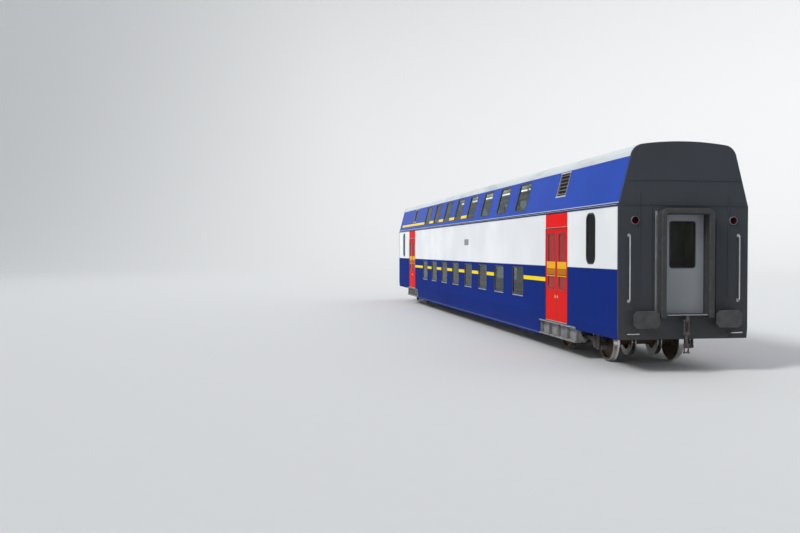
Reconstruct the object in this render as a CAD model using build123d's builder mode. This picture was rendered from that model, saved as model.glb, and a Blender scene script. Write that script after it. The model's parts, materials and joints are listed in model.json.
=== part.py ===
from build123d import *
import os

# Double-deck railway coach, full size, in millimetres.
# +X runs along the coach to its front end, -Y is its right side, +Z is up.
# z = 0 is the lowest point of the wheel flanges, so the rail head lies at the flange depth.

# Wheels and track
wheel_diameter = 840.0
flange_depth = 28.0
wheelbase = 2500.0
wheel_back_spacing = 1360.0
wheel_width = 135.0
wheel_facets = 32
flange_width = 33.0
rim_thickness = 68.0
web_recess = 70.0
hub_radius = 125.0
hub_length = 150.0
axle_radius = 85.0
journal_radius = 65.0
axle_length = 2080.0
brake_disc_radius = 310.0
brake_disc_spacing = 600.0
brake_disc_thickness = 110.0
ring_facets = 16
hub_facets = 12

# Body shell
body_length = 26400.0
body_width = 2770.0
side_wall = 60.0
skirt_height = 300.0
end_bay_height = 650.0
waist_bottom_height = 2050.0
waist_top_height = 3300.0
upper_side_rise = 1000.0
roof_rise = 300.0
roof_edge_inset = 260.0
crown_rise = 90.0
shoulder_radius = 280.0
roof_thickness = 60.0
roof_bead_height = 4.0
roof_bead_width = 24.0
roof_bead_rises = (45.0, 100.0)
end_wall = 60.0
tuck_in = 45.0
tuck_height = 560.0
gutter_height = 34.0
gutter_depth = 24.0
gutter_lip = 20.0

# Floors, ceilings and stairs
lower_floor_height = 430.0
vestibule_floor_over_buffers = 90.0
upper_floor_height = 2380.0
ceiling_over_waist = 10.0
floor_thickness = 60.0
upper_floor_thickness = 90.0
ceiling_thickness = 40.0
pivot_from_end = 3200.0
tub_clearance = 452.0
bulkhead_thickness = 60.0
upper_floor_from_end = 6250.0
stair_width = 1050.0
stair_going = 250.0
lower_stair_treads = 3
upper_stair_treads = 6
stair_thickness = 170.0
stair_nosing = 44.0
stair_foot_set = 350.0
partition_from_end = 2500.0
partition_thickness = 40.0
aisle_width = 700.0

# Windows
windows_per_deck = 8
window_row_margin = 370.0
window_width = 1000.0
window_corner = 45.0
lower_window_under_waist = 80.0
lower_window_height = 730.0
upper_window_over_waist = 200.0
upper_window_under_roof = 60.0
window_lip = 16.0
window_rebate = 25.0
glass_thickness = 12.0
end_window_from_end = 1450.0
end_window_width = 500.0
end_window_corner = 95.0
end_window_margin = 90.0

# Side doors and their steps
door_from_end = 3600.0
door_width = 1500.0
door_sill_height = 720.0
door_under_waist_top = 350.0
door_thickness = 45.0
door_inset = 8.0
door_gap = 6.0
door_seal = 4.0
door_window_width = 470.0
door_window_over_sill = 780.0
door_window_under_head = 120.0
step_length = 2500.0
step_bottom_height = 350.0
step_top_height = 700.0
step_depth = 150.0
step_plate = 30.0

# Intake grilles and destination displays
grille_width = 650.0
grille_over_waist = 400.0
grille_under_roof = 20.0
grille_slats = 6
grille_border = 28.0
grille_depth = 40.0
slat_depth = 44.0
slat_thickness = 6.0
slat_tilt = 35.0
display_place = 700.0
display_width = 600.0
display_height = 200.0
display_under_waist_top = 500.0

# Coach ends
gangway_width = 900.0
gangway_under_waist_top = 160.0
gangway_ring = 120.0
gangway_corner = 150.0
gangway_foot = 60.0
gangway_root = 35.0
gangway_waist = 50.0
gangway_fold = 28.0
bridge_width = 860.0
bridge_thickness = 14.0
bridge_reach = 170.0
buffer_height = 1060.0
buffer_spacing = 1750.0
buffer_reach = 200.0
buffer_head_width = 540.0
buffer_head_height = 340.0
buffer_head_thickness = 40.0
buffer_head_corner = 70.0
buffer_shank_radius = 95.0
buffer_base = 300.0
buffer_base_corner = 45.0
buffer_base_thickness = 18.0
buffer_housing_radius = 122.0
buffer_housing_length = 105.0
buffer_housing_facets = 16
hook_width = 50.0
coupling_reach = 118.0
coupling_drop = 30.0
coupling_width = 110.0
link_length = 260.0
link_width = 30.0
link_thickness = 16.0
nut_height = 55.0
screw_radius = 20.0
screw_length = 230.0
shackle_length = 150.0
coupling_facets = 8
lamp_radius = 85.0
lamp_depth = 28.0
lamp_facets = 12
lamp_spacing = 2100.0
lamp_under_waist_top = 278.0
end_sill_depth = 250.0
end_sill_height = 220.0
end_door_thickness = 36.0
end_door_overlap = 60.0
end_door_clearance = 8.0
end_door_window_width = 540.0
end_door_window_height = 920.0
end_door_window_under_head = 208.0
door_rail_height = 50.0
door_rail_depth = 50.0
door_rail_gap = 65.0

# Seats
seat_depth = 470.0
seat_top = 430.0
seat_bottom = 300.0
seat_back_top = 910.0
seat_back_thickness = 110.0
pole_radius = 18.0
pole_facets = 8

# Bogies
frame_half_track = 975.0
frame_side_width = 150.0
frame_overhang = 400.0
frame_end_drop = 20.0
frame_set = 40.0
frame_top_height = 830.0
frame_drop = 170.0
frame_waist_half = 650.0
frame_neck = 250.0
frame_depth = 150.0
transom_offset = 210.0
transom_width = 140.0
pivot_radius = 120.0
pivot_block = 560.0
pin_clearance = 0.06
axle_box_width = 160.0
axle_box_size = 300.0
axle_box_corner = 55.0
axle_cover_radius = 130.0
axle_cover_thickness = 25.0
axle_arm_length = 620.0
axle_arm_height = 90.0
damper_radius = 26.0
damper_gap = 8.0
damper_foot_height = 50.0
damper_facets = 8
calliper_gap = 12.0
calliper_arm = 30.0
calliper_overlap = 140.0
calliper_bridge = 80.0
calliper_height = 200.0
calliper_stem = 80.0
calliper_stem_height = 60.0
spring_radius = 85.0
spring_offset = 255.0
air_spring_radius = 240.0
air_spring_facets = 24
spring_facets = 12
bolster_width = 700.0
bolster_thickness = 100.0
sill_width = 100.0
seam = 0.3

# Worked out from the sizes above
rail = flange_depth
wheel_radius = wheel_diameter / 2
axle_z = rail + wheel_radius
half_body = body_length / 2
half_inside = half_body - end_wall
half_width = body_width / 2
half_roof_edge = half_width - roof_edge_inset
pivot_x = half_body - pivot_from_end
half_tub = pivot_x - wheelbase / 2 - wheel_radius - flange_depth - tub_clearance
tub_length = 2 * half_tub
half_upper_floor = half_body - upper_floor_from_end
door_x = half_body - door_from_end
end_window_x = half_body - end_window_from_end
partition_x = half_body - partition_from_end
skirt_z = rail + skirt_height
waist_z = rail + waist_bottom_height
shoulder_z = rail + waist_top_height
roof_edge_z = shoulder_z + upper_side_rise
roof_z = roof_edge_z + roof_rise
lower_floor_z = rail + lower_floor_height
buffer_z = rail + buffer_height
vestibule_z = buffer_z + vestibule_floor_over_buffers
upper_floor_z = rail + upper_floor_height
ceiling_z = shoulder_z + ceiling_over_waist
gangway_height = shoulder_z - gangway_under_waist_top - vestibule_z
sill_z = rail + door_sill_height
door_head_z = shoulder_z - door_under_waist_top
step_z = rail + step_top_height
lean = (half_width - half_roof_edge) / (roof_edge_z - shoulder_z)
slope = (1 + lean**2) ** 0.5
window_pitch = (tub_length - 2 * window_row_margin) / windows_per_deck
window_xs = [(i - (windows_per_deck - 1) / 2) * window_pitch for i in range(windows_per_deck)]
ends = {"front": 1, "rear": -1}

# Outer faces of the right side: upright up to the shoulder, leaning inwards above it
side_face = Plane(origin=(0, -half_width, 0), x_dir=(1, 0, 0), z_dir=(0, -1, 0))
upper_face = Plane(origin=(0, -half_width, shoulder_z), x_dir=(1, 0, 0), z_dir=(0, -1, lean))

os.makedirs("parts", exist_ok=True)


def save(builder, name):
    """Label a finished piece and write it."""
    builder.part.label = name
    export_step(builder.part, f"parts/{name}.step")


def save_both_sides(builder, name):
    """Write the right side's piece and its mirror image on the left side."""
    save(builder, f"{name}_right")
    with BuildPart() as left:
        mirror(builder.part, about=Plane.XZ)
    save(left, f"{name}_left")


def save_both_ends(builder, name):
    """Write the front end's piece and its mirror image at the rear end."""
    save(builder, f"{name}_front")
    with BuildPart() as rear:
        mirror(builder.part, about=Plane.YZ)
    save(rear, f"{name}_rear")


def outer_half(z):
    """Half width of the body's outer face at height z."""
    if z < skirt_z + tuck_height:
        return half_width - tuck_in * (1 - (z - skirt_z) / tuck_height)
    if z > shoulder_z:
        return half_width - lean * (z - shoulder_z)
    return half_width


def inner_half(z):
    """Half width between the body's walls at height z."""
    return outer_half(z) - side_wall * (slope if z > shoulder_z else 1)


def wall_section(heights, x):
    """Cross-section of the right wall at x, between the heights listed, bottom first."""
    outer = [(-outer_half(z), z) for z in heights]
    inner = [(-inner_half(z), z) for z in heights]
    with BuildSketch(Plane.YZ.offset(x)) as section:
        with BuildLine():
            Polyline(*outer, *reversed(inner), close=True)
        make_face()
    return section.sketch


def slab_section(bottom, top, x):
    """Cross-section of a floor at x that reaches both walls, between two heights."""
    with BuildSketch(Plane.YZ.offset(x)) as section:
        with BuildLine():
            Polyline(
                (-inner_half(bottom), bottom),
                (inner_half(bottom), bottom),
                (inner_half(top), top),
                (-inner_half(top), top),
                close=True,
            )
        make_face()
    return section.sketch


def roof_section(inset, x):
    """Closed outline of the roof above the roof edge, set inwards by inset: two shoulders and a crown."""
    edge = half_roof_edge - inset * slope
    corner_z = roof_z - crown_rise - inset
    corner = edge - lean * (corner_z - roof_edge_z)
    with BuildSketch(Plane.YZ.offset(x)) as section:
        with BuildLine():
            Polyline((corner, corner_z), (edge, roof_edge_z), (-edge, roof_edge_z), (-corner, corner_z))
            ThreePointArc((-corner, corner_z), (0, roof_z - inset), (corner, corner_z))
        make_face()
        fillet(section.vertices().group_by(Axis.Y)[-1], shoulder_radius - inset)
    return section.sketch


def panes(plane, centres, width, height):
    """Rectangles of one size at the listed centres of a plane."""
    with BuildSketch(plane) as sketch:
        with Locations(centres):
            Rectangle(width, height)
    return sketch.sketch


def openings(plane, centres, width, height, corner=window_corner):
    """Window openings of one size, their corners cut off, at the listed centres of a plane."""
    with BuildSketch(plane) as sketch:
        with Locations(centres):
            Rectangle(width, height)
        chamfer(sketch.vertices(), corner)
    return sketch.sketch


# Lower sides: the navy band with its windows, doorways and stepped lower edge
lower_window_mid = waist_z - lower_window_under_waist - lower_window_height / 2
lower_centres = [(x, lower_window_mid) for x in window_xs]
skirt_end = door_x - step_length / 2
end_bay = half_inside - skirt_end

with BuildPart() as lower_side:
    extrude(wall_section([skirt_z, skirt_z + tuck_height, waist_z], -half_inside), amount=2 * half_inside)
    with BuildSketch(side_face) as cuts:
        for end in ends.values():
            with Locations((end * (skirt_end + end_bay / 2), skirt_z)):
                Rectangle(end_bay, 2 * (end_bay_height - skirt_height))
            with Locations((end * door_x, skirt_z)):
                Rectangle(step_length, 2 * (step_z - skirt_z))
            with Locations((end * door_x, waist_z)):
                Rectangle(door_width, 2 * (waist_z - sill_z))
    extrude(amount=-2 * side_wall, mode=Mode.SUBTRACT)
    extrude(
        openings(side_face, lower_centres, window_width, lower_window_height),
        amount=-2 * side_wall,
        mode=Mode.SUBTRACT,
    )
    extrude(
        panes(
            side_face.offset(-window_lip),
            lower_centres,
            window_width + 2 * window_rebate,
            lower_window_height + 2 * window_rebate,
        ),
        amount=-2 * side_wall,
        mode=Mode.SUBTRACT,
    )
save_both_sides(lower_side, "lower_side")

with BuildPart() as lower_glass:
    extrude(
        panes(
            side_face.offset(-window_lip),
            lower_centres,
            window_width + 2 * window_rebate,
            lower_window_height + 2 * window_rebate,
        ),
        amount=-glass_thickness,
    )
save_both_sides(lower_glass, "lower_glass")

# Waist sides: the white band over both doorways, with the end windows and the display recess
end_window_mid = (waist_z + shoulder_z) / 2
end_window_height = shoulder_z - waist_z - 2 * end_window_margin
end_window_centres = [(end * end_window_x, end_window_mid) for end in ends.values()]
display_mid = (display_place, shoulder_z - display_under_waist_top - display_height / 2)

with BuildPart() as waist_side:
    extrude(wall_section([waist_z, shoulder_z], -half_inside), amount=2 * half_inside)
    with BuildSketch(side_face):
        for end in ends.values():
            with Locations((end * door_x, waist_z)):
                Rectangle(door_width, 2 * (door_head_z - waist_z))
    extrude(amount=-2 * side_wall, mode=Mode.SUBTRACT)
    extrude(
        openings(side_face, end_window_centres, end_window_width, end_window_height, end_window_corner),
        amount=-2 * side_wall,
        mode=Mode.SUBTRACT,
    )
    extrude(
        panes(
            side_face.offset(-window_lip),
            end_window_centres,
            end_window_width + 2 * window_rebate,
            end_window_height + 2 * window_rebate,
        ),
        amount=-2 * side_wall,
        mode=Mode.SUBTRACT,
    )
    extrude(
        panes(side_face, [display_mid], display_width, display_height),
        amount=-window_lip,
        mode=Mode.SUBTRACT,
    )
save_both_sides(waist_side, "waist_side")

with BuildPart() as end_glass:
    extrude(
        panes(
            side_face.offset(-window_lip),
            end_window_centres,
            end_window_width + 2 * window_rebate,
            end_window_height + 2 * window_rebate,
        ),
        amount=-glass_thickness,
    )
    mirror(about=Plane.XZ)
save(end_glass, "end_window_glass")

with BuildPart() as displays:
    extrude(
        panes(side_face, [display_mid], display_width, display_height),
        amount=-window_lip,
    )
    mirror(about=Plane.XZ)
save(displays, "destination_displays")

# Upper sides: the leaning blue panels with their windows and the intake openings over the doors
upper_window_mid = (upper_window_over_waist + upper_side_rise - upper_window_under_roof) / 2 * slope
upper_window_height = (upper_side_rise - upper_window_over_waist - upper_window_under_roof) * slope
upper_centres = [(x, upper_window_mid) for x in window_xs]
grille_mid = (grille_over_waist + upper_side_rise - grille_under_roof) / 2 * slope
grille_height = (upper_side_rise - grille_over_waist - grille_under_roof) * slope
grille_centres = [(end * door_x, grille_mid) for end in ends.values()]

with BuildPart() as upper_side:
    with BuildSketch(Plane.YZ.offset(-half_inside)):
        with BuildLine():
            Polyline(
                (-half_width, shoulder_z),
                (-half_roof_edge, roof_edge_z),
                (-half_roof_edge + side_wall * slope, roof_edge_z),
                (-half_width + side_wall * slope, shoulder_z),
                close=True,
            )
        make_face()
    extrude(amount=2 * half_inside)
    extrude(
        openings(upper_face, upper_centres, window_width, upper_window_height),
        amount=-2 * side_wall,
        mode=Mode.SUBTRACT,
    )
    extrude(
        panes(
            upper_face.offset(-window_lip),
            upper_centres,
            window_width + 2 * window_rebate,
            upper_window_height + 2 * window_rebate,
        ),
        amount=-2 * side_wall,
        mode=Mode.SUBTRACT,
    )
    extrude(
        panes(upper_face, grille_centres, grille_width, grille_height),
        amount=-2 * side_wall,
        mode=Mode.SUBTRACT,
    )
save_both_sides(upper_side, "upper_side")

with BuildPart() as upper_glass:
    extrude(
        panes(
            upper_face.offset(-window_lip),
            upper_centres,
            window_width + 2 * window_rebate,
            upper_window_height + 2 * window_rebate,
        ),
        amount=-glass_thickness,
    )
save_both_sides(upper_glass, "upper_glass")

# Intake grilles: a frame in each opening, with tilted slats that reach from jamb to jamb
slat_pitch = (grille_height - 2 * grille_border) / grille_slats
slat_length = grille_width - 2 * grille_border
with BuildPart() as grilles:
    with BuildSketch(upper_face):
        with Locations(grille_centres):
            Rectangle(grille_width, grille_height)
        with Locations(grille_centres):
            Rectangle(slat_length, grille_height - 2 * grille_border, mode=Mode.SUBTRACT)
    extrude(amount=-grille_depth)
    for x, v in grille_centres:
        for i in range(grille_slats):
            slat_v = v + (i + 0.5 - grille_slats / 2) * slat_pitch
            slat_plane = Plane(
                origin=upper_face.from_local_coords((x - slat_length / 2, slat_v, -grille_depth / 2)),
                x_dir=upper_face.z_dir,
                z_dir=(1, 0, 0),
            )
            with BuildSketch(slat_plane):
                Rectangle(slat_depth, slat_thickness, rotation=slat_tilt)
            extrude(amount=slat_length)
save_both_sides(grilles, "intake_grilles")

# Roof: shoulders and crown between the upper sides, with a pair of beads along each shoulder
with BuildPart() as beads:
    extrude(roof_section(-roof_bead_height, -half_inside), amount=2 * half_inside)
    with BuildSketch(Plane.YZ.offset(-half_inside)):
        with Locations(*[(0, roof_edge_z + rise) for rise in roof_bead_rises]):
            Rectangle(2 * half_width, roof_bead_width)
    extrude(amount=2 * half_inside, mode=Mode.INTERSECT)
with BuildPart() as roof:
    extrude(roof_section(0, -half_inside), amount=2 * half_inside)
    add(beads.part)
    extrude(roof_section(roof_thickness, -half_inside), amount=2 * half_inside, mode=Mode.SUBTRACT)
save(roof, "roof")

# Gutters: the moulding along the foot of each upper side
with BuildPart() as gutters:
    with BuildSketch(Plane.YZ.offset(-half_inside)):
        with BuildLine():
            Polyline(
                (-half_width, shoulder_z),
                (-half_width - gutter_depth, shoulder_z + gutter_height - gutter_lip),
                (-half_width - gutter_depth, shoulder_z + gutter_height),
                (-half_width + lean * gutter_height, shoulder_z + gutter_height),
                close=True,
            )
        make_face()
    extrude(amount=2 * half_inside)
    mirror(about=Plane.XZ)
save(gutters, "gutters")

# End walls: the body's whole outline, with the gangway doorway
with BuildPart() as end_wall_part:
    with BuildSketch(Plane.YZ.offset(half_inside)):
        with BuildLine():
            right = [
                (-outer_half(z), z)
                for z in (rail + end_bay_height, skirt_z + tuck_height, shoulder_z, roof_edge_z)
            ]
            Polyline(*right, *[(-y, z) for y, z in reversed(right)], close=True)
        make_face()
        with Locations((0, vestibule_z + gangway_height / 2)):
            Rectangle(gangway_width, gangway_height, mode=Mode.SUBTRACT)
    extrude(amount=end_wall)
    extrude(roof_section(0, half_inside), amount=end_wall)
    with BuildSketch(Plane.YZ.offset(half_body)):
        lamp_z = shoulder_z - lamp_under_waist_top
        with Locations((-lamp_spacing / 2, lamp_z), (lamp_spacing / 2, lamp_z)):
            RegularPolygon(lamp_radius, lamp_facets)
    extrude(amount=lamp_depth)
save_both_ends(end_wall_part, "end_wall")

# Gangways: a rubber wall over each doorway, folded in behind the wide face that meets the next coach's
gangway_folds = [  # start, depth, inset of the outer face
    (0, gangway_root, 0),
    (gangway_root, gangway_waist, gangway_fold),
    (gangway_root + gangway_waist, buffer_reach - gangway_root - gangway_waist, 0),
]
with BuildPart() as gangway:
    for start, depth, inset in gangway_folds:
        with BuildSketch(Plane.YZ.offset(half_body + start)):
            with Locations((0, vestibule_z + gangway_height / 2)):
                RectangleRounded(
                    gangway_width + 2 * (gangway_ring - inset),
                    gangway_height + 2 * (gangway_ring - inset),
                    gangway_corner - inset,
                )
                Rectangle(gangway_width, gangway_height, mode=Mode.SUBTRACT)
            with Locations((0, vestibule_z - gangway_foot)):
                Rectangle(gangway_width, 2 * gangway_foot, mode=Mode.SUBTRACT)
            with Locations((0, vestibule_z - gangway_foot - gangway_ring)):
                Rectangle(gangway_width + 2 * gangway_ring, 2 * gangway_ring, mode=Mode.SUBTRACT)
        extrude(amount=depth)
save_both_ends(gangway, "gangway_ring")

# Bridge plates: the tread between the doorway and the next coach's plate
with BuildPart() as bridges:
    with BuildSketch(Plane.XY.offset(vestibule_z - bridge_thickness)):
        with Locations((half_body + bridge_reach / 2, 0)):
            Rectangle(bridge_reach, bridge_width)
    extrude(amount=bridge_thickness)
    mirror(about=Plane.YZ)
save(bridges, "bridge_plates")

# Buffers: a base plate, a housing, the shank that slides in it and an oblong head each side
with BuildPart() as buffers:
    for side in (-1, 1):
        centre = (side * buffer_spacing / 2, buffer_z)
        with BuildSketch(Plane.YZ.offset(half_body)):
            with Locations(centre):
                base = Rectangle(buffer_base, buffer_base)
            chamfer(base.vertices(), buffer_base_corner)
        extrude(amount=buffer_base_thickness)
        with BuildSketch(Plane.YZ.offset(half_body)):
            with Locations(centre):
                RegularPolygon(buffer_housing_radius, buffer_housing_facets)
        extrude(amount=buffer_housing_length)
        with BuildSketch(Plane.YZ.offset(half_body)):
            with Locations(centre):
                RegularPolygon(buffer_shank_radius, buffer_housing_facets)
        extrude(amount=buffer_reach - buffer_head_thickness)
        with BuildSketch(Plane.YZ.offset(half_body + buffer_reach - buffer_head_thickness)):
            with Locations(centre):
                head = Rectangle(buffer_head_width, buffer_head_height)
            chamfer(head.vertices(), buffer_head_corner)
        extrude(amount=buffer_head_thickness)
save_both_ends(buffers, "buffers")

# Draw hooks: shank, throat and upturned point, as (reach, rise) from the end wall, and their couplings
hook_outline = [
    (0, -40),
    (100, -75),
    (165, -60),
    (185, 0),
    (175, 70),
    (150, 75),
    (140, 20),
    (105, 5),
    (85, 40),
    (0, 40),
]
coupling_x = half_body + coupling_reach
pin_z = buffer_z - coupling_drop
nut_z = pin_z - link_length
screw_foot_z = nut_z - screw_length
with BuildPart() as hook:
    with BuildSketch(Plane.XZ.offset(-hook_width / 2)):
        with BuildLine():
            Polyline(*[(half_body + x, buffer_z + z) for x, z in hook_outline], close=True)
        make_face()
    extrude(amount=hook_width)
    # the coupling's pin through the hook, and the nuts above and below the screw
    with BuildSketch(Plane.XZ.offset(-coupling_width / 2)):
        with Locations((coupling_x, pin_z)):
            RegularPolygon(link_width / 2, coupling_facets)
        with Locations((coupling_x, nut_z), (coupling_x, screw_foot_z)):
            Rectangle(nut_height, nut_height)
    extrude(amount=coupling_width)
    for side in (-1, 1):
        link_y = side * (coupling_width - link_thickness) / 2
        with BuildSketch(Plane.XZ.offset(-link_y - link_thickness / 2)):
            with Locations((coupling_x, (pin_z + nut_z) / 2)):
                Rectangle(link_width, link_length)
            with Locations((coupling_x, screw_foot_z - shackle_length / 2)):
                Rectangle(link_width, shackle_length)
        extrude(amount=link_thickness)
    with BuildSketch(Plane.XY.offset(screw_foot_z)):
        with Locations((coupling_x, 0)):
            RegularPolygon(screw_radius, coupling_facets)
    extrude(amount=screw_length)
    with BuildSketch(Plane.XZ.offset(-coupling_width / 2)):
        with Locations((coupling_x, screw_foot_z - shackle_length)):
            RegularPolygon(link_width / 2, coupling_facets)
    extrude(amount=coupling_width)
save_both_ends(hook, "draw_hook")

# Floors, ceiling and bulkheads
with BuildPart() as lower_floor:
    extrude(slab_section(lower_floor_z - floor_thickness, lower_floor_z, -half_tub), amount=tub_length)
save(lower_floor, "lower_deck_floor")

with BuildPart() as bulkheads:
    for end in ends.values():
        inner_x = half_tub - bulkhead_thickness
        with BuildSketch(Plane.YZ.offset(end * inner_x)):
            with BuildLine():
                low, mid, top = lower_floor_z, skirt_z + tuck_height, vestibule_z - floor_thickness
                right = [(-inner_half(z), z) for z in (low, mid, top)]
                Polyline(*right, *[(-y, z) for y, z in reversed(right)], close=True)
            make_face()
        extrude(amount=end * bulkhead_thickness)
save(bulkheads, "tub_bulkheads")

vestibule_inner_x = half_tub - bulkhead_thickness
with BuildPart() as vestibule_floors:
    extrude(
        slab_section(vestibule_z - floor_thickness, vestibule_z, vestibule_inner_x),
        amount=half_inside - vestibule_inner_x,
    )
    mirror(about=Plane.YZ)
save(vestibule_floors, "vestibule_floors")

with BuildPart() as ceilings:
    extrude(
        slab_section(ceiling_z, ceiling_z + ceiling_thickness, vestibule_inner_x),
        amount=half_inside - vestibule_inner_x,
    )
    mirror(about=Plane.YZ)
save(ceilings, "vestibule_ceilings")

with BuildPart() as upper_floor:
    extrude(
        slab_section(upper_floor_z - upper_floor_thickness, upper_floor_z, -half_upper_floor),
        amount=2 * half_upper_floor,
    )
save(upper_floor, "upper_deck_floor")

# Stairs: down to the lower deck on the right, up to the upper deck on the left
lower_rise = (vestibule_z - lower_floor_z) / (lower_stair_treads + 1)
upper_rise = (upper_floor_z - vestibule_z) / (upper_stair_treads + 1)
with BuildPart() as stairs:
    with BuildSketch(Plane.XZ.offset(inner_half(vestibule_z) - stair_width)):
        with BuildLine():
            points = [(vestibule_inner_x, lower_floor_z)]
            for i in range(lower_stair_treads):
                z = vestibule_z - (i + 1) * lower_rise
                points += [
                    (vestibule_inner_x - i * stair_going, z),
                    (vestibule_inner_x - (i + 1) * stair_going, z),
                ]
            points += [(vestibule_inner_x - lower_stair_treads * stair_going, lower_floor_z)]
            Polyline(*points, close=True)
        make_face()
    extrude(amount=stair_width - tuck_in)
    foot_x = half_upper_floor + upper_stair_treads * stair_going
    with BuildSketch(Plane.XZ.offset(-inner_half(vestibule_z))):
        with BuildLine():
            points = [(foot_x, vestibule_z)]
            for i in range(upper_stair_treads):
                z = vestibule_z + (i + 1) * upper_rise
                points += [(foot_x - i * stair_going, z), (foot_x - (i + 1) * stair_going, z)]
            points[-1] = (half_upper_floor + stair_nosing, points[-1][1])
            points += [
                (half_upper_floor + stair_nosing, upper_floor_z),
                (half_upper_floor, upper_floor_z),
                (half_upper_floor, upper_floor_z - upper_rise - stair_thickness),
                (foot_x - stair_foot_set, vestibule_z),
            ]
            Polyline(*points, close=True)
        make_face()
    extrude(amount=stair_width)
save_both_ends(stairs, "stairs")

# Partitions between the vestibules and the coach ends, with the aisle between their halves
with BuildPart() as partitions:
    for end in ends.values():
        for side in (-1, 1):
            inner_y = inner_half(vestibule_z)
            mid_y = (inner_y + aisle_width / 2) / 2
            with BuildSketch(Plane.XY.offset(vestibule_z)):
                with Locations((end * partition_x, side * mid_y)):
                    Rectangle(partition_thickness, inner_y - aisle_width / 2)
            extrude(amount=shoulder_z - vestibule_z)
save(partitions, "partitions")

with BuildPart() as poles:
    with BuildSketch(Plane.XY.offset(vestibule_z)):
        for end in ends.values():
            with Locations((end * door_x, -aisle_width / 2), (end * door_x, aisle_width / 2)):
                RegularPolygon(pole_radius, pole_facets)
    extrude(amount=ceiling_z - vestibule_z)
save(poles, "grab_poles")

# Seats: back to back at each pillar between two windows, carried by the side wall
seat_xs = [(i + 1 - windows_per_deck / 2) * window_pitch for i in range(windows_per_deck - 1)]
seat_length = seat_back_thickness + 2 * seat_depth

for deck, floor_z in {"lower": lower_floor_z, "upper": upper_floor_z}.items():
    with BuildPart() as seats:
        with BuildSketch(Plane.XZ.offset(aisle_width / 2)):
            for x in seat_xs:
                with Locations((x, floor_z + (seat_bottom + seat_back_top) / 2)):
                    Rectangle(seat_back_thickness, seat_back_top - seat_bottom)
                with Locations((x, floor_z + (seat_bottom + seat_top) / 2)):
                    Rectangle(seat_length, seat_top - seat_bottom)
        wall_y = min(inner_half(floor_z + seat_bottom), inner_half(floor_z + seat_back_top))
        extrude(amount=wall_y - aisle_width / 2)
        mirror(about=Plane.XZ)
    save(seats, f"{deck}_deck_seats")

# Side doors: two leaves in each doorway, each with its window, glass and seal gap
door_height = door_head_z - sill_z
leaf_width = (door_width - door_gap - 2 * door_seal) / 2
leaf_offset = (leaf_width + door_gap) / 2
door_window_height = door_height - door_window_over_sill - door_window_under_head
door_window_mid = sill_z + door_window_over_sill + door_window_height / 2
door_face = side_face.offset(-door_inset)
leaf_centres = [(door_x - leaf_offset, door_window_mid), (door_x + leaf_offset, door_window_mid)]

with BuildPart() as door:
    with BuildSketch(door_face):
        for x, _ in leaf_centres:
            with Locations((x, sill_z + door_height / 2)):
                Rectangle(leaf_width, door_height)
    extrude(amount=-door_thickness)
    extrude(
        openings(door_face, leaf_centres, door_window_width, door_window_height),
        amount=-2 * door_thickness,
        mode=Mode.SUBTRACT,
    )
    extrude(
        panes(
            door_face.offset(-window_lip),
            leaf_centres,
            door_window_width + 2 * window_rebate,
            door_window_height + 2 * window_rebate,
        ),
        amount=-2 * door_thickness,
        mode=Mode.SUBTRACT,
    )
with BuildPart() as rear_door:
    mirror(door.part, about=Plane.YZ)
save_both_sides(door, "door_front")
save_both_sides(rear_door, "door_rear")

with BuildPart() as door_glass:
    extrude(
        panes(
            door_face.offset(-window_lip),
            leaf_centres,
            door_window_width + 2 * window_rebate,
            door_window_height + 2 * window_rebate,
        ),
        amount=-glass_thickness,
    )
    mirror(about=Plane.YZ)
save_both_sides(door_glass, "door_glass")

# Door steps: a folded channel under each doorway, open outwards, hung from the side's lower edge
with BuildPart() as steps:
    for end in ends.values():
        with BuildSketch(Plane.YZ.offset(end * door_x - step_length / 2)):
            bottom = rail + step_bottom_height
            with Locations((-half_width + step_depth / 2, (bottom + step_z) / 2)):
                Rectangle(step_depth, step_z - bottom)
            with Locations((-half_width, (bottom + step_z) / 2)):
                Rectangle(
                    2 * (step_depth - step_plate), step_z - bottom - 2 * step_plate, mode=Mode.SUBTRACT
                )
        extrude(amount=step_length)
    mirror(about=Plane.XZ)
save(steps, "door_steps")

# Underframes: end sill, side sills, bolster and the pivot pin that the bogie turns on
bolster_bottom = vestibule_z - floor_thickness - bolster_thickness
transom_top = rail + frame_top_height - frame_drop
with BuildPart() as underframe:
    with BuildSketch(Plane.XY.offset(bolster_bottom)):
        with Locations((pivot_x, 0)):
            Rectangle(bolster_width, 2 * inner_half(bolster_bottom))
        for side in (-1, 1):
            sill_y = inner_half(bolster_bottom) - sill_width / 2
            with Locations(((half_tub + half_inside) / 2, side * sill_y)):
                Rectangle(half_inside - half_tub, sill_width)
    extrude(amount=bolster_thickness)
    with BuildSketch(Plane.XY.offset(bolster_bottom + bolster_thickness - end_sill_height)):
        with Locations((half_inside - end_sill_depth / 2, 0)):
            Rectangle(end_sill_depth, 2 * inner_half(bolster_bottom + bolster_thickness - end_sill_height))
    extrude(amount=end_sill_height)
    with BuildSketch(Plane.XY.offset(transom_top - frame_depth)):
        with Locations((pivot_x, 0)):
            Circle(pivot_radius)
    extrude(amount=bolster_bottom + bolster_thickness - transom_top + frame_depth)
save_both_ends(underframe, "underframe")

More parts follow.
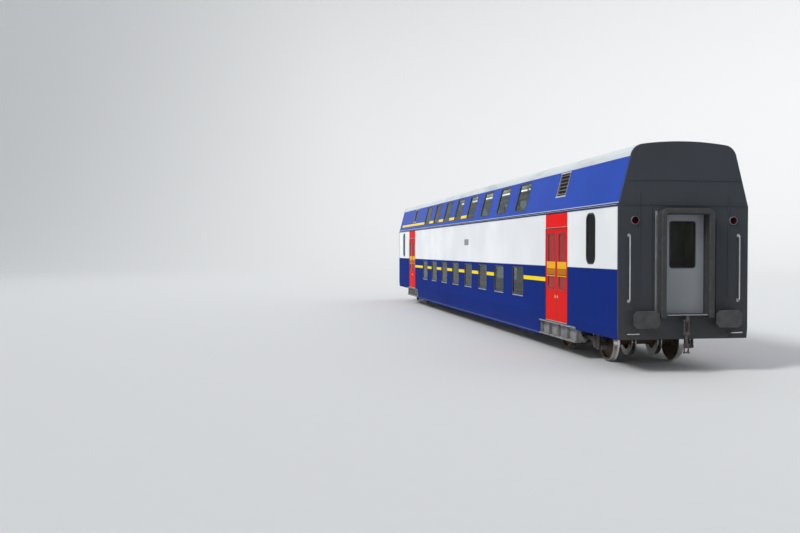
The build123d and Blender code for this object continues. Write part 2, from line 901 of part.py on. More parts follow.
# Bogie frames: two side beams dropped between the axles, two transoms and the pivot block
top = rail + frame_top_height
calliper_top = transom_top - frame_depth + calliper_stem_height
frame_half_length = wheelbase / 2 + frame_overhang
damper_y = frame_half_track + axle_box_width / 2 + damper_gap + damper_radius
damper_bracket = damper_y + damper_radius - frame_half_track - frame_side_width / 2
damper_bracket_y = damper_y + damper_radius - damper_bracket / 2
side_beam = [
    (frame_half_length, top - frame_end_drop),
    (frame_waist_half + frame_neck, top),
    (frame_waist_half, top - frame_drop),
]
under_beam = [
    (frame_waist_half - frame_set, top - frame_drop - frame_depth),
    (frame_waist_half + frame_neck - frame_set, top - frame_depth),
    (frame_half_length, top - frame_depth),
]
with BuildPart() as bogie_frame:
    for side in (-1, 1):
        with BuildSketch(Plane.XZ.offset(-side * frame_half_track - frame_side_width / 2)):
            with BuildLine():
                upper = [(pivot_x + x, z) for x, z in side_beam]
                lower = [(pivot_x + x, z) for x, z in under_beam]
                mirrored = [(2 * pivot_x - x, z) for x, z in reversed(lower + upper)]
                Polyline(
                    *upper,
                    *[(2 * pivot_x - x, z) for x, z in reversed(upper)],
                    *[(2 * pivot_x - x, z) for x, z in reversed(lower)],
                    *lower,
                    close=True,
                )
            make_face()
        extrude(amount=frame_side_width)
    with BuildSketch(Plane.XY.offset(transom_top - frame_depth)):
        with Locations((pivot_x - transom_offset, 0), (pivot_x + transom_offset, 0)):
            Rectangle(transom_width, 2 * frame_half_track)
        with Locations((pivot_x, 0)):
            Rectangle(pivot_block, pivot_block)
    extrude(amount=frame_depth)
    for axle in (-1, 1):
        spring_x = pivot_x + axle * (wheelbase / 2 + spring_offset)
        for side in (-1, 1):
            # a calliper that straddles the brake disc, on a stem from the transom
            disc_y = side * brake_disc_spacing / 2
            tip = wheelbase / 2 - brake_disc_radius + calliper_overlap
            root = wheelbase / 2 - brake_disc_radius - calliper_bridge
            slot = root + calliper_bridge - calliper_gap
            fork_width = brake_disc_thickness + 2 * (calliper_gap + calliper_arm)
            with BuildSketch(Plane.XY.offset(calliper_top - calliper_height)):
                with Locations((pivot_x + axle * (root + tip) / 2, disc_y)):
                    Rectangle(tip - root, fork_width)
                with Locations((pivot_x + axle * (slot + tip) / 2, disc_y)):
                    Rectangle(tip - slot, fork_width - 2 * calliper_arm, mode=Mode.SUBTRACT)
            extrude(amount=calliper_height)
            stem_start = transom_offset + transom_width / 2
            with BuildSketch(Plane.XY.offset(calliper_top - calliper_stem_height)):
                with Locations((pivot_x + axle * (stem_start + root) / 2, disc_y)):
                    Rectangle(root - stem_start, calliper_stem)
            extrude(amount=calliper_stem_height)
            # the damper's upper bracket
            with BuildSketch(Plane.XY.offset(top - frame_depth)):
                with Locations((spring_x, side * damper_bracket_y)):
                    Rectangle(2 * damper_radius, damper_bracket)
            extrude(amount=damper_foot_height)
    with BuildSketch(Plane.XY.offset(transom_top - 2 * frame_depth)):
        with Locations((pivot_x, 0)):
            Circle(pivot_radius + pin_clearance)
    extrude(amount=4 * frame_depth, mode=Mode.SUBTRACT)
save_both_ends(bogie_frame, "bogie_frame")

# Air springs between the bogie frame and the bolster
with BuildPart() as air_springs:
    with BuildSketch(Plane.XY.offset(transom_top)):
        with Locations((pivot_x, -frame_half_track), (pivot_x, frame_half_track)):
            RegularPolygon(air_spring_radius, air_spring_facets)
    extrude(amount=bolster_bottom - transom_top - seam)
save_both_ends(air_springs, "air_springs")

# Axle boxes: a housing round each journal, an arm towards the bogie's middle, a seat for the spring
spring_seat_z = axle_z - axle_box_size / 2 + axle_arm_height
damper_foot = damper_y + damper_radius - frame_half_track - axle_box_width / 2
damper_foot_y = damper_y + damper_radius - damper_foot / 2
with BuildPart() as axle_boxes:
    for axle in (-1, 1):
        x = pivot_x + axle * wheelbase / 2
        for side in (-1, 1):
            with BuildSketch(Plane.XZ.offset(-side * frame_half_track - axle_box_width / 2)):
                with Locations((x, axle_z)):
                    box = Rectangle(axle_box_size, axle_box_size)
                chamfer(box.vertices(), axle_box_corner)
                wing = spring_offset + spring_radius
                with Locations((x + axle * wing / 2, spring_seat_z - axle_arm_height / 2)):
                    Rectangle(wing, axle_arm_height)
                with Locations((x - axle * axle_arm_length / 2, axle_z + axle_arm_height / 2)):
                    Rectangle(axle_arm_length, axle_arm_height)
            extrude(amount=axle_box_width)
            with BuildSketch(Plane.XZ):
                with Locations((x, axle_z)):
                    Rectangle(2 * (journal_radius + seam), 2 * (journal_radius + seam))
            extrude(amount=-side * (axle_length / 2 + seam), mode=Mode.SUBTRACT)
            with BuildSketch(Plane.XZ.offset(-side * (frame_half_track + axle_box_width / 2))):
                with Locations((x, axle_z)):
                    RegularPolygon(axle_cover_radius, hub_facets)
            extrude(amount=-side * axle_cover_thickness)
            # the damper on its foot beside the spring
            foot_x = x + axle * spring_offset
            with BuildSketch(Plane.XY.offset(spring_seat_z - axle_arm_height)):
                with Locations((foot_x, side * damper_foot_y)):
                    Rectangle(2 * damper_radius, damper_foot)
            extrude(amount=damper_foot_height)
            with BuildSketch(Plane.XY.offset(spring_seat_z - axle_arm_height + damper_foot_height)):
                with Locations((foot_x, side * damper_y)):
                    RegularPolygon(damper_radius, damper_facets)
            extrude(amount=top - frame_depth - seam - spring_seat_z + axle_arm_height - damper_foot_height)
save_both_ends(axle_boxes, "axle_boxes")

# Primary springs between the axle boxes and the frame
with BuildPart() as springs:
    with BuildSketch(Plane.XY.offset(spring_seat_z)):
        for axle in (-1, 1):
            for side in (-1, 1):
                with Locations((pivot_x + axle * (wheelbase / 2 + spring_offset), side * frame_half_track)):
                    RegularPolygon(spring_radius, spring_facets)
    extrude(amount=top - frame_depth - spring_seat_z)
save_both_ends(springs, "primary_springs")

# Wheelsets: the axle, brake discs and flanged wheels, with a recess between each rim and hub
half_back = wheel_back_spacing / 2
wheel_face = half_back + wheel_width
disc_face = brake_disc_spacing / 2 - brake_disc_thickness / 2
wheelset_discs = [  # radius, facets, nearer face and farther face from the axle's middle
    (axle_radius, hub_facets, 0, half_back),
    (brake_disc_radius, ring_facets, disc_face, disc_face + brake_disc_thickness),
    (wheel_radius, wheel_facets, half_back, wheel_face),
]
axle_xs = [end * pivot_x + step * wheelbase / 2 for end, step in ((1, 1), (1, -1), (-1, 1), (-1, -1))]
for number, x in enumerate(axle_xs, start=1):
    side_plane = Plane(origin=(x, 0, axle_z), x_dir=(1, 0, 0), z_dir=(0, -1, 0))
    with BuildPart() as wheelset:
        for radius, facets, near, far in wheelset_discs:
            with BuildSketch(side_plane.offset(near)):
                RegularPolygon(radius, facets)
            extrude(amount=far - near)
        with BuildSketch(side_plane.offset(half_back)):
            RegularPolygon(wheel_radius + flange_depth, wheel_facets)
        with BuildSketch(side_plane.offset(half_back + flange_width)):
            RegularPolygon(wheel_radius, wheel_facets)
        loft()
        with BuildSketch(side_plane.offset(wheel_face)):
            RegularPolygon(wheel_radius - rim_thickness, ring_facets)
        extrude(amount=-web_recess, mode=Mode.SUBTRACT)
        with BuildSketch(side_plane.offset(wheel_face - web_recess)):
            RegularPolygon(hub_radius, hub_facets)
        extrude(amount=hub_length - wheel_width + web_recess)
        with BuildSketch(side_plane.offset(wheel_face)):
            Circle(journal_radius)
        extrude(amount=axle_length / 2 - wheel_face)
        mirror(about=Plane.XZ)
    save(wheelset, f"wheelset_{number}")

# End doors: a leaf behind each gangway doorway, hung from a rail on the end wall
door_back = half_inside - end_door_clearance
end_door_height = gangway_height + end_door_overlap
with BuildPart() as end_door:
    with BuildSketch(Plane.YZ.offset(door_back - end_door_thickness)):
        with Locations((0, vestibule_z + end_door_clearance + end_door_height / 2)):
            Rectangle(gangway_width + 2 * end_door_overlap, end_door_height)
        window_top = vestibule_z + end_door_clearance + end_door_height - end_door_window_under_head
        with Locations((0, window_top - end_door_window_height / 2)):
            Rectangle(end_door_window_width, end_door_window_height, mode=Mode.SUBTRACT)
    extrude(amount=end_door_thickness)
save_both_ends(end_door, "end_door")

with BuildPart() as door_rails:
    rail_start = -gangway_width / 2 - end_door_overlap
    rail_end = half_width - side_wall - door_rail_gap
    rail_z = vestibule_z + end_door_clearance + end_door_height + seam
    with BuildSketch(Plane.XY.offset(rail_z)):
        with Locations((half_inside - door_rail_depth / 2, (rail_start + rail_end) / 2)):
            Rectangle(door_rail_depth, rail_end - rail_start)
    extrude(amount=door_rail_height)
    mirror(about=Plane.YZ)
save(door_rails, "end_door_rails")
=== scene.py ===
import json
import math

import bmesh
import bpy
import numpy as np
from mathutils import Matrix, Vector


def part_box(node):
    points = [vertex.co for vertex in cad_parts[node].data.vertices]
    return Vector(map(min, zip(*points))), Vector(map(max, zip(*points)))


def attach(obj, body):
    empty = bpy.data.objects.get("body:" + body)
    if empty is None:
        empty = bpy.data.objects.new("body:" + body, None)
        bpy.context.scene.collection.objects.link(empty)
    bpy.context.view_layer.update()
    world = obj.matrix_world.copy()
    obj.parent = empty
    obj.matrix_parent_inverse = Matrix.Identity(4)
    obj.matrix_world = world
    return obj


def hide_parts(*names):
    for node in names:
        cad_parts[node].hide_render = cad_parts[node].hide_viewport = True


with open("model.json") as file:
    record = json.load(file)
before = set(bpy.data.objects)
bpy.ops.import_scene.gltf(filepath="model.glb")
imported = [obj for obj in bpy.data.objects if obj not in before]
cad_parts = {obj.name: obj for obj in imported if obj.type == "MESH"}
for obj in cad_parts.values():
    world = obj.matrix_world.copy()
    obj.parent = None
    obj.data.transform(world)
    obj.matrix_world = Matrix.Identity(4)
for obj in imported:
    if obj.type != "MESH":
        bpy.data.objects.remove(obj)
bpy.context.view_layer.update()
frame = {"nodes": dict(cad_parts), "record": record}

bl_info = {
    "name": "Double-deck coach",
    "version": (1, 0, 0),
    "blender": (4, 5, 0),
    "location": "View3D > Sidebar > Coach",
    "description": "Dresses the packed double-deck railway coach with finishes and fine pieces",
    "category": "Object",
}

NODES, RECORD = frame["nodes"], frame["record"]
SIDES = (-1, 1)
ENDS = {"front": 1, "rear": -1}


# Sizes and colours


def length(label, about, default):
    """A length in metres that a user may change."""
    return bpy.props.FloatProperty(
        name=label, description=about, default=default, precision=4, subtype="DISTANCE", unit="LENGTH"
    )


def count(label, about, default):
    """A whole number that a user may change."""
    return bpy.props.IntProperty(name=label, description=about, default=default, min=1)


def colour(label, about, default):
    """A colour, as linear red, green and blue."""
    return bpy.props.FloatVectorProperty(
        name=label, description=about, default=default, size=3, min=0, max=1, subtype="COLOR"
    )


class CoachSizes(bpy.types.PropertyGroup):
    """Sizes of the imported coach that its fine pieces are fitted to, and sizes of those pieces."""

    half_body: length("Half body length", "From the middle to the outer face of an end wall", 13.2)
    half_width: length("Half width", "From the middle to the outer face of a side", 1.385)
    skirt: length("Skirt edge", "Height of the body's lower edge", 0.328)
    waist: length("Waist", "Height where navy meets white", 2.078)
    shoulder: length("Shoulder", "Height where the upper sides start to lean in", 3.328)
    roof_edge: length("Roof edge", "Height of the roof's edge", 4.328)
    roof_top: length("Roof top", "Height of the crown", 4.628)
    half_roof_edge: length("Half roof width", "Half width of the body at the roof's edge", 1.125)
    crown_rise: length("Crown rise", "Rise of the crown above the shoulders' upper ends", 0.09)
    roof_fillet: length("Roof fillet", "Radius between the roof's leaning part and the crown", 0.28)
    window_pitch: length("Window pitch", "Distance between two windows' middles", 1.87)
    window_width: length("Window width", "Width of a saloon window", 1.0)
    lower_bottom: length("Lower window foot", "Height of the lower windows' lower edge", 1.268)
    lower_top: length("Lower window head", "Height of the lower windows' upper edge", 1.998)
    upper_bottom: length("Upper window foot", "Height of the upper windows' lower edge", 3.528)
    upper_top: length("Upper window head", "Height of the upper windows' upper edge", 4.268)
    end_window_x: length("End window place", "Distance of the end windows from the middle", 11.75)
    end_window_width: length("End window width", "Width of an end window", 0.5)
    end_window_bottom: length("End window foot", "Height of its lower edge", 2.168)
    end_window_top: length("End window head", "Height of its upper edge", 3.238)
    glass_depth: length("Glass depth", "How far the glass lies behind the paint", 0.016)
    door_x: length("Doorway place", "Distance of the doorways from the middle", 9.6)
    door_width: length("Doorway width", "Clear width of a doorway", 1.5)
    door_sill: length("Door sill", "Height of the doorway's sill", 0.748)
    door_head: length("Door head", "Height of the doorway's head", 2.978)
    door_inset: length("Door inset", "How far the leaves lie behind the side", 0.008)
    door_window_width: length("Door window width", "Width of a leaf's window", 0.47)
    door_window_bottom: length("Door window foot", "Height of its lower edge", 1.528)
    door_window_top: length("Door window head", "Height of its upper edge", 2.858)
    leaf_offset: length("Leaf offset", "From the doorway's middle to a leaf's middle", 0.3745)
    grille_width: length("Grille width", "Width of an intake grille", 0.65)
    grille_bottom: length("Grille foot", "Height of the grilles' lower edge", 3.728)
    grille_top: length("Grille head", "Height of the grilles' upper edge", 4.308)
    step_length: length("Step length", "Length of the steps under a doorway", 2.5)
    step_top: length("Step top", "Height of the steps' upper edge", 0.728)
    step_bottom: length("Step bottom", "Height of the steps' lower edge", 0.378)
    lower_floor: length("Lower floor", "Height of the lower deck", 0.458)
    vestibule: length("Vestibule floor", "Height of the vestibules' floors", 1.178)
    upper_floor: length("Upper floor", "Height of the upper deck", 2.408)
    aisle: length("Half aisle", "Half the width of the aisle", 0.35)
    gangway_width: length("Gangway width", "Clear width of the gangway doorway", 0.9)
    gangway_height: length("Gangway height", "Clear height of the gangway doorway", 1.99)
    gangway_reach: length("Gangway reach", "How far the gangway stands out of the end wall", 0.2)
    end_door_window_width: length("End door window width", "Width of an end door's window", 0.54)
    end_door_window_height: length("End door window height", "Height of an end door's window", 0.92)
    end_door_window_middle: length("End door window middle", "Its middle over the vestibule floor", 1.39)
    buffer_y: length("Buffer spacing", "From the middle to a buffer", 0.875)
    buffer_z: length("Buffer height", "Height of buffers and draw hook", 1.088)
    pivot_x: length("Bogie place", "Distance of a bogie's pivot from the middle", 10.0)
    half_wheelbase: length("Half wheelbase", "From a bogie's pivot to its axles", 1.25)
    axle_z: length("Axle height", "Height of the axles", 0.448)
    wheel_radius: length("Wheel radius", "Radius of the tread", 0.42)
    beam_y: length("Beam place", "From the middle to a bogie's side beams", 0.975)
    spring_offset: length("Spring offset", "From an axle to its coil springs", 0.255)
    spring_seat: length("Spring seat", "Height of the springs' lower end", 0.388)
    spring_top: length("Spring top", "Height of the springs' upper end", 0.708)
    damper_y: length("Damper place", "From the middle to the dampers", 1.089)
    spring_radius: length("Spring radius", "Outer radius of a coil spring", 0.085)
    bellows_seat: length("Bellows seat", "Height of the air bellows' lower end", 0.688)
    bellows_top: length("Bellows top", "Height of the air bellows' upper end", 1.0177)
    bellows_radius: length("Bellows radius", "Outer radius of an air bellows", 0.24)
    gasket_corner: length("Gasket corner", "Radius of the window rubbers' corners", 0.09)
    spring_wire: length("Spring wire", "Radius of the coil springs' wire", 0.0135)
    disc_radius: length("Disc radius", "Radius of the brake discs", 0.31)
    windows: count("Windows", "Saloon windows on each deck and side", 8)
    spring_turns: count("Spring turns", "Turns of a coil spring", 6)
    cover_bolts: count("Cover bolts", "Bolts on an axle-box cover", 6)


class CoachColours(bpy.types.PropertyGroup):
    """Colours of the coach's finishes."""

    navy: colour("Navy", "Lower sides", (0.008, 0.028, 0.205))
    blue: colour("Blue", "Upper sides", (0.018, 0.068, 0.42))
    white: colour("White", "Waist sides", (0.84, 0.86, 0.87))
    red: colour("Red", "Doors and the panels over them", (0.78, 0.014, 0.012))
    yellow: colour("Yellow", "Stripes and grab bands", (0.93, 0.68, 0.01))
    roof: colour("Roof grey", "Roof", (0.62, 0.66, 0.67))
    end_grey: colour("End grey", "End walls", (0.055, 0.062, 0.072))
    underbody: colour("Underbody grey", "Underframe and tub floor", (0.045, 0.045, 0.046))
    bogie: colour("Bogie grey", "Bogie frames", (0.060, 0.056, 0.052))
    dust: colour("Road dust", "Brake dust and dirt", (0.085, 0.062, 0.045))
    cloth: colour("Seat cloth", "Ground colour of the seats", (0.02, 0.06, 0.19))
    cloth_fleck: colour("Cloth fleck", "Pattern colour of the seats", (0.30, 0.42, 0.62))


# Surfaces, as grids of points


def quads(points, wrap_u=False, wrap_v=False, caps=False):
    """Faces between neighbours on grids [copy, u, v, xyz]; caps close the first and last row."""
    points = np.asarray(points, float)
    points = points.reshape(-1, *points.shape[-3:])
    copies, rows, columns, _ = points.shape
    index = np.arange(rows * columns).reshape(rows, columns)
    grid = np.vstack([index, index[:1]]) if wrap_u else index
    grid = np.hstack([grid, grid[:, :1]]) if wrap_v else grid
    corners = np.stack([grid[:-1, :-1], grid[:-1, 1:], grid[1:, 1:], grid[1:, :-1]], -1)
    shift = np.arange(copies)[:, None, None] * rows * columns
    faces = (corners.reshape(-1, 4) + shift).reshape(-1, 4).tolist()
    if caps:
        ends = np.stack([index[0, ::-1], index[-1]])
        faces += (ends + shift).reshape(-1, columns).tolist()
    return points.reshape(-1, 3), faces


def place(grid, origins, axes=np.eye(3)):
    """Copies of a local grid at several origins: origin + a * first axis + b * second + c * third."""
    origins = np.atleast_2d(np.asarray(origins, float))
    return origins[:, None, None, :] + (np.asarray(grid) @ np.asarray(axes, float))[None]


def rounded_loop(width, height, radius, steps=6):
    """Rounded rectangle: four quarter circles of points, and each point's outward direction."""
    turn = np.radians(np.linspace(0, 90, steps + 1)) + np.radians(90) * np.arange(4)[:, None]
    out = np.stack([np.cos(turn.ravel()), np.sin(turn.ravel())], -1)
    corner = np.array([(1, 1), (-1, 1), (-1, -1), (1, -1)]).repeat(steps + 1, 0)
    return corner * (width / 2 - radius, height / 2 - radius) + radius * out, out


def ring(width, height, radius, section, steps=6):
    """A section of (outwards, forwards) points carried round a rounded rectangle."""
    path, out = rounded_loop(width, height, radius, steps)
    section = np.asarray(section, float)
    flat = path[:, None] + out[:, None] * section[None, :, :1]
    deep = np.broadcast_to(section[None, :, 1:], (*flat.shape[:2], 1))
    return np.concatenate([flat, deep], -1)


def plate(width, height, depth, radius, bevel, steps=3):
    """A rounded rectangle carried through its thickness and drawn in by the bevel at both faces."""
    path, out = rounded_loop(width, height, radius, steps)
    rows = np.array([(-bevel, 0), (0, bevel), (0, depth - bevel), (-bevel, depth)])
    flat = path[None] + out[None] * rows[:, None, :1]
    return np.concatenate([flat, np.broadcast_to(rows[:, None, 1:], (4, len(path), 1))], -1)


def turned(profile, sides=32):
    """A profile of (radius, along) turned once round the third axis."""
    turn = np.linspace(0, 2 * np.pi, sides, endpoint=False)[:, None]
    radius, along = np.asarray(profile, float).T
    return np.stack([np.cos(turn) * radius, np.sin(turn) * radius, 0 * turn + along], -1)


def tube(path, radius, sides=10, up=(0, 0, 1)):
    """A circle carried along a path: centre + radius (cos a * side + sin a * over)."""
    path = np.asarray(path, float)
    ahead = np.gradient(path, axis=0)
    ahead /= np.linalg.norm(ahead, axis=1, keepdims=True)
    side = np.cross(ahead, np.broadcast_to(up, path.shape))
    side /= np.linalg.norm(side, axis=1, keepdims=True)
    over = np.cross(side, ahead)
    turn = np.linspace(0, 2 * np.pi, sides, endpoint=False)[None, :, None]
    radius = np.broadcast_to(radius, len(path))[:, None, None]
    return path[:, None] + radius * (np.cos(turn) * side[:, None] + np.sin(turn) * over[:, None])


def bent(corners, radius, steps=5):
    """A path through corners, each rounded by a quadratic curve that starts radius before it."""
    corners = np.asarray(corners, float)
    rows = [corners[:1]]
    t = np.linspace(0, 1, steps)[:, None]
    for before, corner, after in zip(corners[:-2], corners[1:-1], corners[2:]):
        a = corner + (before - corner) / np.linalg.norm(before - corner) * radius
        b = corner + (after - corner) / np.linalg.norm(after - corner) * radius
        rows.append((1 - t) ** 2 * a + 2 * t * (1 - t) * corner + t**2 * b)
    return np.vstack([*rows, corners[-1:]])


def bar(outline, start, stop):
    """Faces of a closed outline of (y, z) points carried along x."""
    outline = np.asarray(outline, float)
    xs = np.array([start, stop])[:, None, None]
    rows = np.concatenate([np.broadcast_to(xs, (2, len(outline), 1)), np.stack([outline] * 2)], -1)
    return quads(rows, wrap_v=True, caps=True)


def pipe(*args, **options):
    """Faces of a closed tube."""
    return quads(tube(*args, **options), wrap_v=True, caps=True)


def block(origins, size, axes=np.eye(3), radius=0.008, bevel=0.003):
    """Bevelled blocks centred on their origins across the first two axes, rising along the third."""
    return quads(place(plate(*size, radius, bevel), origins, axes), wrap_v=True, caps=True)


def lathe(profile, origins, axes=np.eye(3), sides=32, closed=False):
    """Faces of turned forms at several origins."""
    return quads(place(turned(profile, sides), origins, axes), wrap_u=True, wrap_v=closed)


def side_axes(side, lean=0.0):
    """Along, up and outwards on one side's face; side is -1 on the right."""
    slope = math.hypot(1, lean)
    return np.array([(1, 0, 0), (0, -side * lean / slope, 1 / slope), (0, side / slope, lean / slope)])


ACROSS = {s: np.array([(1, 0, 0), (0, 0, 1), (0, s, 0)], float) for s in SIDES}
ALONG = {s: np.array([(0, 1, 0), (0, 0, 1), (s, 0, 0)], float) for s in SIDES}


def stud(radius, shoulder, cap, top, base=0.0):
    """Profile of a bolt, pin or button head: upright to its shoulder, then drawn in to the cap's radius."""
    return [(0, base), (radius, base), (radius, shoulder), (cap, top), (0, top)]


def bolt_circle(centres, radius, turns, axes, lift):
    """Places round each centre: centre + radius (cos a * first axis + sin a * second) + lift * third."""
    circle = np.cos(turns)[:, None] * axes[0] + np.sin(turns)[:, None] * axes[1]
    return (np.atleast_2d(centres)[:, None] + radius * circle + lift * axes[2]).reshape(-1, 3)


def stirrup(first, last, stand, bend):
    """Path of a handle: from the first point out by the stand, along, and back to the last point."""
    first, last, stand = np.array([first, last, stand], float)
    return bent([first, first + stand, last + stand, last], bend)


def framed(grid, origins, axes):
    """Faces of closed rings at several origins."""
    return quads(place(grid, origins, axes), wrap_u=True, wrap_v=True)


def turn_outwards(mesh, weld=True):
    """Point the faces of a mesh outwards, after its doubles are merged."""
    work = bmesh.new()
    work.from_mesh(mesh)
    if weld:
        bmesh.ops.remove_doubles(work, verts=work.verts, dist=1e-5)
        bmesh.ops.dissolve_degenerate(work, dist=1e-6, edges=work.edges)
    bmesh.ops.recalc_face_normals(work, faces=work.faces)
    work.to_mesh(mesh)
    work.free()


def make(name, parts, material, body="coach", replaces=(), crease=35):
    """One piece from lists of points and faces: doubles merged, faces turned outwards, edges kept sharp
    above the crease angle."""
    points, faces, start = [], [], 0
    for verts, polys in parts:
        points.append(verts)
        faces += [[i + start for i in poly] for poly in polys]
        start += len(verts)
    mesh = bpy.data.meshes.new(name)
    mesh.from_pydata(np.concatenate(points), [], faces)
    turn_outwards(mesh)
    mesh.polygons.foreach_set("use_smooth", np.ones(len(mesh.polygons), bool))
    mesh.set_sharp_from_angle(angle=math.radians(crease))
    mesh.materials.append(bpy.data.materials[material])
    piece = bpy.data.objects.new(name, mesh)
    bpy.context.scene.collection.objects.link(piece)
    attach(piece, body)
    if replaces:
        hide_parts(*replaces)
    return piece


# Shader groups


class Net:
    """A short way to lay out shader nodes and join them."""

    def __init__(self, tree):
        self.tree = tree

    def node(self, kind, inputs=(), **settings):
        node = self.tree.nodes.new("ShaderNode" + kind)
        for key, value in settings.items():
            setattr(node, key, value)
        for key, value in dict(inputs).items():
            self.feed(node.inputs[key], value)
        return node

    def feed(self, socket, value):
        if isinstance(value, bpy.types.NodeSocket):
            self.tree.links.new(value, socket)
        else:
            socket.default_value = value

    def math(self, operation, a, b=0.0, clamp=False):
        return self.node("Math", {0: a, 1: b}, operation=operation, use_clamp=clamp).outputs[0]

    def times(self, a, b, clamp=False):
        return self.math("MULTIPLY", a, b, clamp)

    def plus(self, a, b, clamp=False):
        return self.math("ADD", a, b, clamp)

    def minus(self, a, b):
        return self.math("SUBTRACT", a, b)

    def ramp(self, value, low, high, start=0.0, stop=1.0):
        """Smooth step from start to stop as value goes from low to high."""
        node = self.node(
            "MapRange",
            {"Value": value, "From Min": low, "From Max": high, "To Min": start, "To Max": stop},
            interpolation_type="SMOOTHSTEP",
        )
        return node.outputs["Result"]

    def band(self, value, low, high, soft=0.002):
        """Mask that is one between low and high."""
        rise = self.ramp(value, low - soft, low + soft)
        fall = self.ramp(value, high - soft, high + soft, 1.0, 0.0)
        return self.times(rise, fall)

    def mix(self, factor, a, b):
        return self.node("Mix", {0: factor, 6: a, 7: b}, data_type="RGBA").outputs[2]

    def noise(self, vector, scale, detail=3.0, rough=0.55):
        inputs = {"Vector": vector, "Scale": scale, "Detail": detail, "Roughness": rough}
        return self.node("TexNoise", inputs).outputs["Fac"]

    def stretch(self, vector, scale):
        return self.node("Mapping", {"Vector": vector, "Scale": scale}).outputs[0]

    def parts(self, vector):
        """The three parts of a vector."""
        return self.node("SeparateXYZ", {0: vector}).outputs


def rgba(values):
    return (*values, 1.0)


def shader_group(name, inputs, outputs):
    """An empty group with a vector and named inputs (name, kind, default), and outputs (name, kind)."""
    tree = bpy.data.node_groups.new(name, "ShaderNodeTree")
    kinds = {"F": "NodeSocketFloat", "C": "NodeSocketColor"}
    tree.interface.new_socket("Vector", in_out="INPUT", socket_type="NodeSocketVector")
    for label, kind, default in inputs:
        tree.interface.new_socket(label, in_out="INPUT", socket_type=kinds[kind]).default_value = default
    for label, kind in outputs:
        tree.interface.new_socket(label, in_out="OUTPUT", socket_type=kinds[kind])
    source = tree.nodes.new("NodeGroupInput")
    target = tree.nodes.new("NodeGroupOutput")
    return Net(tree), source.outputs, target.inputs


def road_dust_group():
    """Dust that thickens downwards, with upright rain streaks and patches; it dulls what it covers."""
    net, given, out = shader_group(
        "road_dust",
        [
            ("Colour", "C", (0.5, 0.5, 0.5, 1)),
            ("Dust", "C", (0.1, 0.07, 0.05, 1)),
            ("Amount", "F", 0.5),
            ("Clean Height", "F", 1.6),
            ("Roughness", "F", 0.3),
        ],
        [("Colour", "C"), ("Roughness", "F")],
    )
    height = net.parts(given["Vector"])[2]
    fall = net.minus(1.0, net.math("DIVIDE", height, given["Clean Height"], clamp=True))
    low = net.math("POWER", fall, 2.2)
    streaks = net.noise(net.stretch(given["Vector"], (7.0, 7.0, 0.35)), 1.0, 4.0, 0.6)
    patches = net.noise(given["Vector"], 1.3, 5.0, 0.6)
    specks = net.noise(given["Vector"], 38.0, 2.0)
    streak = net.ramp(streaks, 0.46, 0.78, 0.0, 0.30)
    patch = net.ramp(patches, 0.35, 0.75, 0.55, 1.25)
    grime = net.plus(net.times(low, patch), net.times(streak, patches))
    grime = net.plus(grime, net.ramp(specks, 0.62, 0.8, 0.0, 0.12))
    mask = net.times(grime, given["Amount"], clamp=True)
    net.feed(out["Colour"], net.mix(mask, given["Colour"], given["Dust"]))
    net.feed(out["Roughness"], net.plus(given["Roughness"], net.times(mask, 0.45), True))


def lacquer_group():
    """Height of sprayed lacquer: fine orange peel over the slow waves of welded sheet."""
    net, given, out = shader_group("lacquer", [("Peel", "F", 0.3), ("Wave", "F", 1.0)], [("Height", "F")])
    peel = net.times(net.noise(given["Vector"], 170.0, 1.0), given["Peel"])
    wave = net.noise(net.stretch(given["Vector"], (1.4, 1.4, 0.8)), 1.0, 1.0)
    net.feed(out["Height"], net.plus(peel, net.times(wave, given["Wave"])))


def sheet_joint_group():
    """Thin upright joints between body sheets: a mask that is one on each joint."""
    net, given, out = shader_group("sheet_joints", [("Pitch", "F", 3.74), ("Width", "F", 0.003)], [("Mask", "F")])
    along = net.parts(given["Vector"])[0]
    part = net.math("FRACT", net.plus(net.math("DIVIDE", along, given["Pitch"]), 100.0))
    near = net.times(net.math("ABSOLUTE", net.minus(part, 0.5)), given["Pitch"])
    net.feed(out["Mask"], net.math("LESS_THAN", near, given["Width"]))


def wear_group():
    """Bare metal where the paint is rubbed off: rounded normals differ most at the edges."""
    net, given, out = shader_group("edge_wear", [("Radius", "F", 0.006), ("Amount", "F", 1.0)], [("Mask", "F")])
    soft = net.node("Bevel", {"Radius": given["Radius"]}, samples=4).outputs[0]
    true = net.node("NewGeometry").outputs["Normal"]
    same = net.node("VectorMath", {0: soft, 1: true}, operation="DOT_PRODUCT").outputs["Value"]
    edge = net.ramp(same, 0.99, 0.82)
    rubbed = net.ramp(net.noise(given["Vector"], 22.0, 4.0, 0.65), 0.42, 0.62)
    worn = net.times(net.times(edge, rubbed), given["Amount"], True)
    net.feed(out["Mask"], worn)


def casting_group():
    """Height of a rough casting or of baked-on dirt: lumps with a fine grain on top."""
    net, given, out = shader_group("casting", [("Lumps", "F", 1.0), ("Grain", "F", 0.4)], [("Height", "F")])
    lumps = net.times(net.noise(given["Vector"], 28.0, 3.0), given["Lumps"])
    grain = net.times(net.noise(given["Vector"], 260.0, 2.0), given["Grain"])
    net.feed(out["Height"], net.plus(lumps, grain))


